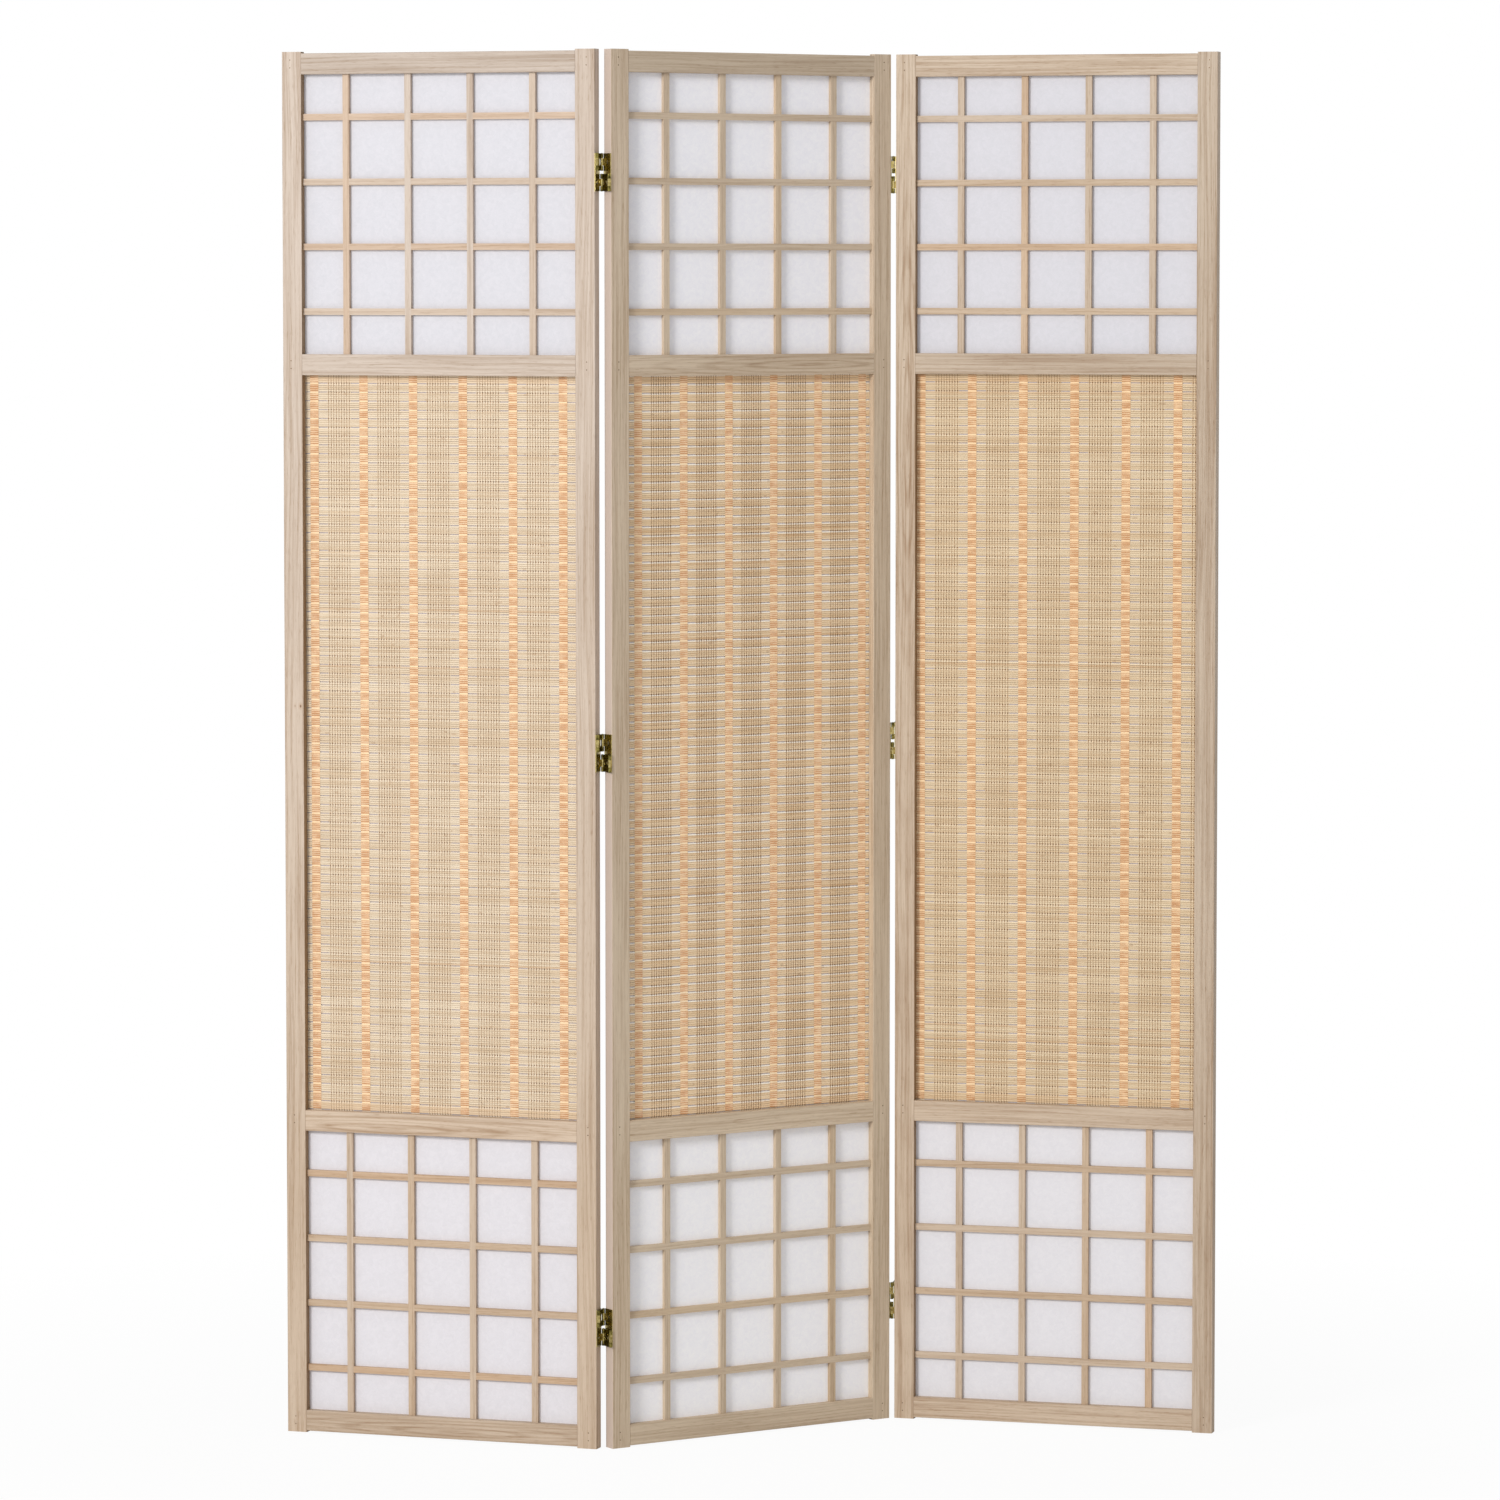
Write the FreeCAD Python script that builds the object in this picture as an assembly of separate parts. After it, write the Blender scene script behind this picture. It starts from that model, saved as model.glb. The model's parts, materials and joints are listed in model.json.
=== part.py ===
"""Three-panel shoji folding screen: pale wood frames, half-lapped lattices over paper, bamboo mats,
and double-action strap hinges that let each pair of panels fold either way.

A panel is built in its own frame: U runs along its width from the left edge, V runs back from its
front face, and Z is up from the floor. Each finished piece is then turned and moved to its panel's
place in the zigzag, and the whole screen is centred over its origin on the floor. Millimetres.
"""
import FreeCAD, Part
import math
import os

# ---------------------------------------------------------------- driving dimensions: panels
PANEL_WIDTH = 427.0
PANEL_HEIGHT = 1790.0
FRAME_THICKNESS = 17.0
STILE_WIDTH = 26.5
RAIL_HEIGHT = 27.0
RAIL_INSET = 2.0                 # the stiles stand this far past the top and bottom rails
UPPER_LATTICE_HEIGHT = 359.0     # clear height between the top rail and the upper middle rail
LOWER_LATTICE_HEIGHT = 366.0     # clear height between the lower middle rail and the bottom rail
ARRIS = 0.5                      # flat planed on the long front and back edges of the frame

# ---------------------------------------------------------------- driving dimensions: frame joinery
PAPER_PLANE = 10.5               # depth of the shoulder that the paper and the mat lie on
REBATE_WIDTH = 5.0               # ledge behind the paper and the mat, cut in the frame's back
TENON_LENGTH = 15.0
TENON_FRONT = 2.6                # wood in front of a tenon
TENON_THICKNESS = 6.5
TENON_SHOULDER = 4.0             # wood above and below a rail's tenon
MORTISE_CLEARANCE = 0.1          # on each side of a tenon
MORTISE_END_GAP = 1.0            # glue space past a tenon's end

# ---------------------------------------------------------------- driving dimensions: lattices
LATTICE_COUNT = 4                # bars each way in every lattice
LATTICE_BAR = 8.4                # face width of a bar
LATTICE_THICKNESS = 5.5
UPRIGHT_PITCH = 85.0
UPPER_CROSSBAR_PITCH = 83.2
LOWER_CROSSBAR_PITCH = 84.8
LAP_CLEARANCE = 0.1              # play of a bar in its halved notch, in all
BAR_HOUSING = 4.0                # how far each end of a bar is let into the frame

# ---------------------------------------------------------------- driving dimensions: infill
PAPER_THICKNESS = 0.4
PAPER_EDGE_GAP = 0.5             # from the edge of a sheet or a mat to the wall of its rebate
MAT_THICKNESS = 1.8
SLAT_PITCH = 11.35               # one bundle of bamboo slats and the gap below it
SLAT_GAP = 1.1
TIE_COUNT = 6                    # bands of cotton thread that run down behind the slats
TIE_PITCH = 68.4
TIE_WIDTH = 11.0
TIE_THICKNESS = 0.3
BEAD_RECESS = 0.6                # the retaining beads lie this far below the back of the frame
BEAD_CLEARANCE = 0.1             # between a bead and what it lies against

# ---------------------------------------------------------------- driving dimensions: hinges
HINGE_HEIGHT = 48.0
HINGE_HALF = 22.0                # height of each of a hinge's two linked halves
HINGE_END_DISTANCE = 156.0       # from a panel's end to the centre of its outer hinges
AXIS_OFFSET = 3.3                # from a stile's edge face out to the pivot axes
AXIS_PROUD = 0.5                 # from a frame's front or back face out to the pivot axes
LEAF_THICKNESS = 0.9
LINK_THICKNESS = 1.0
KNUCKLE_RADIUS = 2.1
PIN_RADIUS = 1.0
PIN_CLEARANCE = 0.05
PIN_HEAD = 0.3                   # how far a pin stands past its knuckles
NECK_OUTER_ANGLE = 20.0          # where a leaf's plate meets the outer side of its knuckle
NECK_INNER_ANGLE = -50.0         # and where it meets the inner side
NECK_ROOT = 1.5                  # knuckle radii from a knuckle's axis to where its neck leaves the plate
LINK_KNUCKLE = 6.0               # height of a link's knuckles, above and below the leaf's
KNUCKLE_GAP = 0.3
LINK_HOLE_RADIUS = 5.5
NOTCH_CLEARANCE = 0.3            # from a link's plate to the leaf's knuckle that turns in it
ROUND_SIDES = 8                  # facets round each knuckle; few, as there are so many
PIN_SIDES = 6                    # and round a pin and its bore
HOLE_SIDES = 12                  # and round the hole in a link
SCREW_SIDES = 8                  # and round a screw and what is drilled for it
SCREW_SHANK_RADIUS = 1.3
SCREW_HEAD_RADIUS = 2.8
SCREW_HEAD_HEIGHT = 0.5          # rise of the oval head over the leaf
SCREW_LENGTH = 13.0
SCREW_CLEARANCE = 0.05
SCREW_TIP_RADIUS = 0.25
CROWN_FLAT = 1.4                 # radius of the flat at the top of the raised head

# ---------------------------------------------------------------- driving dimensions: how it stands
MIDDLE_PANEL_ANGLE = 32.57       # of the middle panel from the X axis, its right end farther back
LEFT_FOLD = 50.90                # how far the left panel is folded back from flat
RIGHT_FOLD = 48.60               # how far the right panel is folded forward from flat

# ---------------------------------------------------------------- worked-out places
INNER_LEFT = STILE_WIDTH
INNER_RIGHT = PANEL_WIDTH - STILE_WIDTH
PANEL_MIDDLE = PANEL_WIDTH / 2
REBATE_BOTTOM_LEFT = INNER_LEFT - REBATE_WIDTH
REBATE_BOTTOM_RIGHT = INNER_RIGHT + REBATE_WIDTH

TOP_RAIL_TOP = PANEL_HEIGHT - RAIL_INSET
TOP_RAIL_BOTTOM = TOP_RAIL_TOP - RAIL_HEIGHT
UPPER_RAIL_TOP = TOP_RAIL_BOTTOM - UPPER_LATTICE_HEIGHT
UPPER_RAIL_BOTTOM = UPPER_RAIL_TOP - RAIL_HEIGHT
BOTTOM_RAIL_BOTTOM = RAIL_INSET
BOTTOM_RAIL_TOP = BOTTOM_RAIL_BOTTOM + RAIL_HEIGHT
LOWER_RAIL_BOTTOM = BOTTOM_RAIL_TOP + LOWER_LATTICE_HEIGHT
LOWER_RAIL_TOP = LOWER_RAIL_BOTTOM + RAIL_HEIGHT

LATTICE_FRONT = PAPER_PLANE - LATTICE_THICKNESS
LAP_PLANE = LATTICE_FRONT + LATTICE_THICKNESS / 2
MAT_BACK = PAPER_PLANE + MAT_THICKNESS
BEAD_BACK = FRAME_THICKNESS - BEAD_RECESS

FRONT_AXIS = -AXIS_PROUD
BACK_AXIS = FRAME_THICKNESS + AXIS_PROUD
HINGE_CENTRES = (HINGE_END_DISTANCE, PANEL_HEIGHT / 2, PANEL_HEIGHT - HINGE_END_DISTANCE)
LEAF_KNUCKLE = HINGE_HALF - 2 * (LINK_KNUCKLE + KNUCKLE_GAP)
BORE_RADIUS = PIN_RADIUS + PIN_CLEARANCE


def vector(x, y, z):
    return FreeCAD.Vector(x, y, z)


def block(u_range, v_range, z_range):
    """A square-edged block between three pairs of limits."""
    size = [high - low for low, high in (u_range, v_range, z_range)]
    return Part.makeBox(size[0], size[1], size[2], vector(u_range[0], v_range[0], z_range[0]))


def outline_face(points):
    """A flat face inside a ring of points."""
    return Part.Face(Part.makePolygon(points + [points[0]]))


def prism(points, direction):
    """A flat outline, given as 3-D points, pushed along a direction."""
    return outline_face(points).extrude(direction)


def spaced(count, pitch, middle):
    """Centres of a row of bars, evenly spaced about a middle."""
    first = middle - pitch * (count - 1) / 2
    return [first + pitch * i for i in range(count)]


UPRIGHTS = spaced(LATTICE_COUNT, UPRIGHT_PITCH, PANEL_MIDDLE)
UPPER_CROSSBARS = spaced(LATTICE_COUNT, UPPER_CROSSBAR_PITCH, (TOP_RAIL_BOTTOM + UPPER_RAIL_TOP) / 2)
LOWER_CROSSBARS = spaced(LATTICE_COUNT, LOWER_CROSSBAR_PITCH, (LOWER_RAIL_BOTTOM + BOTTOM_RAIL_TOP) / 2)
RAILS = {
    "top_rail": (TOP_RAIL_BOTTOM, TOP_RAIL_TOP),
    "upper_rail": (UPPER_RAIL_BOTTOM, UPPER_RAIL_TOP),
    "lower_rail": (LOWER_RAIL_BOTTOM, LOWER_RAIL_TOP),
    "bottom_rail": (BOTTOM_RAIL_BOTTOM, BOTTOM_RAIL_TOP),
}


# ---------------------------------------------------------------- frame members
def rail_tenon_limits(bottom, top):
    """Depth and height limits of a rail's tenon."""
    depth = (TENON_FRONT, TENON_FRONT + TENON_THICKNESS)
    height = (bottom + TENON_SHOULDER, top - TENON_SHOULDER)
    return depth, height


def widened(limits, clearance):
    return (limits[0] - clearance, limits[1] + clearance)


def bar_width(centre):
    """Limits of a lattice bar across its face."""
    return (centre - LATTICE_BAR / 2, centre + LATTICE_BAR / 2)


def housing_section(centre):
    """Depth and width limits of the notch, open behind, that houses a lattice bar's end."""
    depth = (LATTICE_FRONT - MORTISE_CLEARANCE, PAPER_PLANE)
    return depth, widened(bar_width(centre), MORTISE_CLEARANCE)


def left_stile(hinged):
    """Left stile: rebated behind for paper and mat, mortised for rails and lattice crossbars.
    The edge face of a hinged stile also has pilot holes for the hinge screws."""
    section = [
        (ARRIS, 0), (STILE_WIDTH - ARRIS, 0), (STILE_WIDTH, ARRIS), (STILE_WIDTH, PAPER_PLANE),
        (REBATE_BOTTOM_LEFT, PAPER_PLANE), (REBATE_BOTTOM_LEFT, FRAME_THICKNESS),
        (ARRIS, FRAME_THICKNESS), (0, FRAME_THICKNESS - ARRIS), (0, ARRIS),
    ]
    body = prism([vector(u, v, 0) for u, v in section], vector(0, 0, PANEL_HEIGHT))
    cuts = []
    for bottom, top in RAILS.values():
        depth, height = rail_tenon_limits(bottom, top)
        across = (INNER_LEFT - TENON_LENGTH - MORTISE_END_GAP, INNER_LEFT)
        cuts.append(block(across, widened(depth, MORTISE_CLEARANCE), widened(height, MORTISE_CLEARANCE)))
    for centre in UPPER_CROSSBARS + LOWER_CROSSBARS:
        across = (INNER_LEFT - BAR_HOUSING - MORTISE_END_GAP, INNER_LEFT)
        depth, height = housing_section(centre)
        cuts.append(block(across, depth, height))
    if hinged:
        for z in screw_heights():
            pilot_depth = SCREW_LENGTH - LEAF_THICKNESS + MORTISE_END_GAP
            radius = SCREW_SHANK_RADIUS + SCREW_CLEARANCE
            pilot = screw_section([(0, radius), (pilot_depth, radius)])
            cuts.append(pilot.translated(vector(0, FRAME_THICKNESS / 2, z)))
    return body.cut(cuts)


def mirrored(shape):
    """The same shape at the panel's other side."""
    return shape.mirror(vector(PANEL_MIDDLE, 0, 0), vector(1, 0, 0))


def rail(bottom, top, opening_below, opening_above, mortised_below, mortised_above):
    """A rail with a blind tenon at each end. Its back shoulders are longer than its front ones, to
    fill the stiles' rebates, and it is rebated itself behind each opening that it borders."""
    front = [
        (ARRIS, bottom), (0, bottom + ARRIS), (0, top - ARRIS), (ARRIS, top),
        (PAPER_PLANE, top), (PAPER_PLANE, bottom),
    ]
    front_block = prism(
        [vector(INNER_LEFT, v, z) for v, z in front], vector(INNER_RIGHT - INNER_LEFT, 0, 0)
    )
    back_bottom = bottom + (REBATE_WIDTH if opening_below else 0)
    back_top = top - (REBATE_WIDTH if opening_above else 0)
    back_block = block(
        (REBATE_BOTTOM_LEFT, REBATE_BOTTOM_RIGHT), (PAPER_PLANE, FRAME_THICKNESS), (back_bottom, back_top)
    )
    depth, height = rail_tenon_limits(bottom, top)
    tenons = block((INNER_LEFT - TENON_LENGTH, INNER_RIGHT + TENON_LENGTH), depth, height)
    body = front_block.fuse([back_block, tenons]).removeSplitter()
    cuts = []
    for mortised, face, inward in ((mortised_below, bottom, 1), (mortised_above, top, -1)):
        if mortised:
            end = face + inward * (BAR_HOUSING + MORTISE_END_GAP)
            height = (min(face, end), max(face, end))
            for centre in UPRIGHTS:
                depth, across = housing_section(centre)
                cuts.append(block(across, depth, height))
    return body.cut(cuts) if cuts else body


# ---------------------------------------------------------------- lattices
def bar_block(upright, across, depth, along):
    """A block given by its limits across, through and along an upright or a level bar."""
    if upright:
        return block(across, depth, along)
    return block(along, depth, across)


def lattice_bar(centre, low, high, crossings, upright, halved_at_front):
    """A lattice bar, long enough to be let into the frame, with a halved notch at each crossing."""
    across = bar_width(centre)
    along = (low - BAR_HOUSING, high + BAR_HOUSING)
    bar = bar_block(upright, across, (LATTICE_FRONT, PAPER_PLANE), along)
    halving = (LATTICE_FRONT, LAP_PLANE) if halved_at_front else (LAP_PLANE, PAPER_PLANE)
    half_notch = (LATTICE_BAR + LAP_CLEARANCE) / 2
    notches = [bar_block(upright, across, halving, (c - half_notch, c + half_notch)) for c in crossings]
    return bar.cut(notches)


def lattice(bottom, top, crossbars, uprights_in_front):
    """The uprights and the crossbars of one lattice, each a group of separate bars."""
    upright_bars = [lattice_bar(u, bottom, top, crossbars, True, not uprights_in_front) for u in UPRIGHTS]
    cross_bars = [
        lattice_bar(z, INNER_LEFT, INNER_RIGHT, UPRIGHTS, False, uprights_in_front) for z in crossbars
    ]
    return Part.makeCompound(upright_bars), Part.makeCompound(cross_bars)


# ---------------------------------------------------------------- paper, mat and retaining beads
def sheet_edges(bottom, top):
    """Width and height limits of a sheet that lies in the rebates round an opening."""
    overlap = REBATE_WIDTH - PAPER_EDGE_GAP
    return (INNER_LEFT - overlap, INNER_RIGHT + overlap), (bottom - overlap, top + overlap)


def paper(bottom, top, front):
    """A sheet of screen paper, glued to the back of a lattice or laid behind a mat."""
    across, height = sheet_edges(bottom, top)
    return block(across, (front, front + PAPER_THICKNESS), height)


def bamboo_mat(bottom, top):
    """Level bundles of bamboo slats with open gaps between them. The bands of thread that hold them
    together lie against their backs."""
    across, (low, high) = sheet_edges(bottom, top)
    bundles = int((high - low + SLAT_GAP) // SLAT_PITCH)
    height = SLAT_PITCH - SLAT_GAP
    slat_back = MAT_BACK - TIE_THICKNESS
    pieces = []
    for middle in spaced(bundles, SLAT_PITCH, (low + high) / 2):
        pieces.append(block(across, (PAPER_PLANE, slat_back), (middle - height / 2, middle + height / 2)))
    for middle in spaced(TIE_COUNT, TIE_PITCH, PANEL_MIDDLE):
        tie = (middle - TIE_WIDTH / 2, middle + TIE_WIDTH / 2)
        pieces.append(block(tie, (slat_back, MAT_BACK), (low, high)))
    return Part.makeCompound(pieces)


def bead_ring(bottom, top, front):
    """Four retaining beads round the back of one opening, level ones between upright ones."""
    depth = (front + BEAD_CLEARANCE, BEAD_BACK)
    width = REBATE_WIDTH - BEAD_CLEARANCE
    low = bottom - width
    high = top + width
    left = (INNER_LEFT - width, INNER_LEFT)
    right = (INNER_RIGHT, INNER_RIGHT + width)
    return [
        block(left, depth, (low, high)),
        block(right, depth, (low, high)),
        block((INNER_LEFT, INNER_RIGHT), depth, (low, bottom)),
        block((INNER_LEFT, INNER_RIGHT), depth, (top, high)),
    ]


def retaining_beads():
    """The beads of all three openings of a panel."""
    behind_paper = PAPER_PLANE + PAPER_THICKNESS
    behind_mat = MAT_BACK + PAPER_THICKNESS
    beads = bead_ring(UPPER_RAIL_TOP, TOP_RAIL_BOTTOM, behind_paper)
    beads += bead_ring(LOWER_RAIL_TOP, UPPER_RAIL_BOTTOM, behind_mat)
    beads += bead_ring(BOTTOM_RAIL_TOP, LOWER_RAIL_BOTTOM, behind_paper)
    return Part.makeCompound(beads)


# ---------------------------------------------------------------- double-action hinges
# A hinge piece is built at a panel's right edge: X runs out from the edge face, Y runs back from the
# front face as V does, and Z is zero at the hinge's centre. Each leaf has one knuckle in each half of
# the hinge, one in front and one behind. Each link joins the front of one leaf to the back of the
# other, so either the back axes or the front axes of the two leaves stay together as the panels fold.
def half_centre(half):
    offset = (HINGE_HEIGHT - HINGE_HALF) / 2
    return offset if half == "upper" else -offset


def screw_heights():
    """Heights of all the screws along a hinged edge."""
    return [centre + half_centre(half) for centre in HINGE_CENTRES for half in ("upper", "lower")]


def ring_point(radius, sides, i):
    """Corner i of a regular outline whose corners lie on this radius."""
    angle = 2 * math.pi * i / sides
    return radius * math.cos(angle), radius * math.sin(angle)


def barrel(radius, y, z_centre, height, sides=ROUND_SIDES):
    """An upright round piece on a pivot axis, its corners on this radius."""
    corners = [ring_point(radius, sides, i) for i in range(sides)]
    bottom = z_centre - height / 2
    return prism([vector(AXIS_OFFSET + dx, y + dy, bottom) for dx, dy in corners], vector(0, 0, height))


def barrel_hole(radius, y, z_centre, height, sides=ROUND_SIDES):
    """What is cut for a round piece of this radius, with its flats clear of it."""
    return barrel(radius / math.cos(math.pi / sides), y, z_centre, height, sides)


def screw_section(stations):
    """A flat-sided solid round the X axis through stations of (x, radius), its corners on those radii."""
    rings = []
    for x, radius in stations:
        corners = [ring_point(radius, SCREW_SIDES, i) for i in range(SCREW_SIDES)]
        rings.append([vector(x, dy, dz) for dy, dz in corners])
    faces = [outline_face(rings[0]), outline_face(rings[-1])]
    for near, far in zip(rings, rings[1:]):
        for i in range(SCREW_SIDES):
            faces.append(outline_face([near[i - 1], near[i], far[i], far[i - 1]]))
    shell = Part.Shell(faces)
    shell.sewShape()
    return Part.Solid(shell)


def knuckle_point(outward, axis_y, angle):
    """A point on a knuckle's round, at an angle from the way to the stile towards the way outward."""
    a = math.radians(angle)
    x = AXIS_OFFSET - KNUCKLE_RADIUS * math.cos(a)
    return (x, axis_y + outward * KNUCKLE_RADIUS * math.sin(a))


def knuckle_neck(outward, axis_y):
    """Outline that carries a leaf's plate into its knuckle. outward is +1 at the back, -1 in front."""
    root = axis_y - outward * NECK_ROOT * KNUCKLE_RADIUS
    return [
        (0, axis_y - outward * (AXIS_PROUD + KNUCKLE_RADIUS / 2)),
        knuckle_point(outward, axis_y, NECK_OUTER_ANGLE),
        (AXIS_OFFSET, axis_y),
        knuckle_point(outward, axis_y, NECK_INNER_ANGLE),
        (LEAF_THICKNESS, root),
        (0, root),
    ]


def leaf(front_half):
    """One leaf: a plate on the stile's edge face, a front knuckle in front_half and a back knuckle in
    the other half, and a countersunk hole in each half."""
    plate = block((0, LEAF_THICKNESS), (0, FRAME_THICKNESS), (-HINGE_HEIGHT / 2, HINGE_HEIGHT / 2))
    back_half = "lower" if front_half == "upper" else "upper"
    parts = []
    bores = []
    for half, axis_y, outward in ((front_half, FRONT_AXIS, -1), (back_half, BACK_AXIS, 1)):
        z = half_centre(half)
        points = [vector(x, y, z - LEAF_KNUCKLE / 2) for x, y in knuckle_neck(outward, axis_y)]
        parts.append(prism(points, vector(0, 0, LEAF_KNUCKLE)))
        parts.append(barrel(KNUCKLE_RADIUS, axis_y, z, LEAF_KNUCKLE))
        bores.append(barrel_hole(BORE_RADIUS, axis_y, z, HINGE_HALF, PIN_SIDES))
        countersink = screw_section([
            (0, SCREW_SHANK_RADIUS + SCREW_CLEARANCE),
            (LEAF_THICKNESS, SCREW_HEAD_RADIUS + SCREW_CLEARANCE),
        ])
        bores.append(countersink.translated(vector(0, FRAME_THICKNESS / 2, z)))
    return plate.fuse(parts).removeSplitter().cut(bores)


def link(half):
    """A link: a pierced plate with a pair of knuckles at each end, notched round the leaf's knuckles."""
    z = half_centre(half)
    plate_y = (FRONT_AXIS, BACK_AXIS)
    plate_x = (AXIS_OFFSET - LINK_THICKNESS / 2, AXIS_OFFSET + LINK_THICKNESS / 2)
    plate = block(plate_x, plate_y, (z - HINGE_HALF / 2, z + HINGE_HALF / 2))
    knuckle_z = (HINGE_HALF - LINK_KNUCKLE) / 2
    knuckles = []
    cuts = []
    for axis_y in plate_y:
        for side in (-1, 1):
            knuckles.append(barrel(KNUCKLE_RADIUS, axis_y, z + side * knuckle_z, LINK_KNUCKLE))
        cuts.append(barrel_hole(BORE_RADIUS, axis_y, z, HINGE_HALF, PIN_SIDES))
        notch_height = LEAF_KNUCKLE + 2 * KNUCKLE_GAP
        cuts.append(barrel_hole(KNUCKLE_RADIUS + NOTCH_CLEARANCE, axis_y, z, notch_height))
    rim = [ring_point(LINK_HOLE_RADIUS, HOLE_SIDES, i) for i in range(HOLE_SIDES)]
    corners = [vector(0, FRAME_THICKNESS / 2 + dy, z + dz) for dy, dz in rim]
    cuts.append(prism(corners, vector(2 * AXIS_OFFSET, 0, 0)))
    return plate.fuse(knuckles).removeSplitter().cut(cuts)


def link_pins(half):
    """The two pins of a link, through its own knuckles and the leaves'."""
    z = half_centre(half)
    height = HINGE_HALF + 2 * PIN_HEAD
    pins = [barrel(PIN_RADIUS, axis_y, z, height, PIN_SIDES) for axis_y in (FRONT_AXIS, BACK_AXIS)]
    return Part.makeCompound(pins)


def hinge_screw(half):
    """A countersunk wood screw with a slightly raised head, driven into the stile's edge."""
    tip_x = LEAF_THICKNESS - SCREW_LENGTH
    crown_x = LEAF_THICKNESS + SCREW_HEAD_HEIGHT
    screw = screw_section([
        (tip_x, SCREW_TIP_RADIUS),
        (0, SCREW_SHANK_RADIUS),
        (LEAF_THICKNESS, SCREW_HEAD_RADIUS),
        (crown_x, CROWN_FLAT),
    ])
    return screw.translated(vector(0, FRAME_THICKNESS / 2, half_centre(half)))


def at_each_hinge(pieces):
    """Copies of hinge pieces at every hinge's height along an edge."""
    copies = [piece.translated(vector(0, 0, z)) for piece in pieces for z in HINGE_CENTRES]
    solids = [solid for copy in copies for solid in copy.Solids]
    return Part.makeCompound(solids)


def on_right_edge(shape):
    return shape.translated(vector(PANEL_WIDTH, 0, 0))


def on_left_edge(shape):
    return mirrored(on_right_edge(shape))


# ---------------------------------------------------------------- places in the zigzag
def turned(angle, u, v):
    """Plan vector that runs u along a panel at this angle and v back from it."""
    a = math.radians(angle)
    return vector(u * math.cos(a) - v * math.sin(a), u * math.sin(a) + v * math.cos(a), 0)


LEFT_ANGLE = MIDDLE_PANEL_ANGLE - LEFT_FOLD
RIGHT_ANGLE = MIDDLE_PANEL_ANGLE - RIGHT_FOLD
LEFT_AXIS = turned(MIDDLE_PANEL_ANGLE, -AXIS_OFFSET, BACK_AXIS)
RIGHT_AXIS = turned(MIDDLE_PANEL_ANGLE, PANEL_WIDTH + AXIS_OFFSET, FRONT_AXIS)
PANEL_PLACES = {
    "left_panel": (LEFT_ANGLE, LEFT_AXIS - turned(LEFT_ANGLE, PANEL_WIDTH + AXIS_OFFSET, BACK_AXIS)),
    "middle_panel": (MIDDLE_PANEL_ANGLE, vector(0, 0, 0)),
    "right_panel": (RIGHT_ANGLE, RIGHT_AXIS - turned(RIGHT_ANGLE, -AXIS_OFFSET, FRONT_AXIS)),
}


def placed(shape, panel):
    """A piece moved from its panel's frame to the panel's place, with the middle panel's lower left
    front corner at zero."""
    angle, corner = PANEL_PLACES[panel]
    place = FreeCAD.Placement(corner, FreeCAD.Rotation(vector(0, 0, 1), angle))
    copy = shape.copy()
    copy.Placement = place.multiply(shape.Placement)
    return copy


# ---------------------------------------------------------------- assembly
def panel_pieces(panel, hinged_left, hinged_right, uprights_in_front):
    """Every piece of one panel, without its hinges, by node name."""
    pieces = {
        "left_stile": left_stile(hinged_left),
        "right_stile": mirrored(left_stile(hinged_right)),
        "top_rail": rail(*RAILS["top_rail"], True, False, True, False),
        "upper_rail": rail(*RAILS["upper_rail"], True, True, False, True),
        "lower_rail": rail(*RAILS["lower_rail"], True, True, True, False),
        "bottom_rail": rail(*RAILS["bottom_rail"], False, True, False, True),
        "upper_paper": paper(UPPER_RAIL_TOP, TOP_RAIL_BOTTOM, PAPER_PLANE),
        "mat_paper": paper(LOWER_RAIL_TOP, UPPER_RAIL_BOTTOM, MAT_BACK),
        "lower_paper": paper(BOTTOM_RAIL_TOP, LOWER_RAIL_BOTTOM, PAPER_PLANE),
        "bamboo_mat": bamboo_mat(LOWER_RAIL_TOP, UPPER_RAIL_BOTTOM),
        "rear_beads": retaining_beads(),
    }
    uprights, crossbars = lattice(UPPER_RAIL_TOP, TOP_RAIL_BOTTOM, UPPER_CROSSBARS, uprights_in_front)
    pieces["upper_lattice_uprights"] = uprights
    pieces["upper_lattice_crossbars"] = crossbars
    uprights, crossbars = lattice(BOTTOM_RAIL_TOP, LOWER_RAIL_BOTTOM, LOWER_CROSSBARS, uprights_in_front)
    pieces["lower_lattice_uprights"] = uprights
    pieces["lower_lattice_crossbars"] = crossbars
    return {f"{panel}_{name}": placed(shape, panel) for name, shape in pieces.items()}


def hinge_pieces(hinges, left_panel, right_panel, upper_link_follows):
    """The leaves, links and pins of the hinges between two panels. The left leaf's front knuckles are
    in the upper halves. As the screen stands, the links of one half lie along the edge of the panel
    named by upper_link_follows, and those of the other half along the other panel's edge."""
    left_leaves = at_each_hinge([leaf("upper")])
    right_leaves = at_each_hinge([leaf("lower")])
    nodes = {
        f"{hinges}_left_leaves": placed(on_right_edge(left_leaves), left_panel),
        f"{hinges}_right_leaves": placed(on_left_edge(right_leaves), right_panel),
    }
    for half in ("upper", "lower"):
        upper_on_left = upper_link_follows == left_panel
        on_left = upper_on_left if half == "upper" else not upper_on_left
        edge = on_right_edge if on_left else on_left_edge
        panel = left_panel if on_left else right_panel
        nodes[f"{hinges}_{half}_links"] = placed(edge(at_each_hinge([link(half)])), panel)
        nodes[f"{hinges}_{half}_pins"] = placed(edge(at_each_hinge([link_pins(half)])), panel)
    return nodes


def hinge_screws(left_edge, right_edge):
    """The screws in a panel's hinged edges."""
    screws = at_each_hinge([hinge_screw("upper"), hinge_screw("lower")])
    solids = []
    if left_edge:
        solids += on_left_edge(screws).Solids
    if right_edge:
        solids += on_right_edge(screws).Solids
    return Part.makeCompound(solids)


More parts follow.
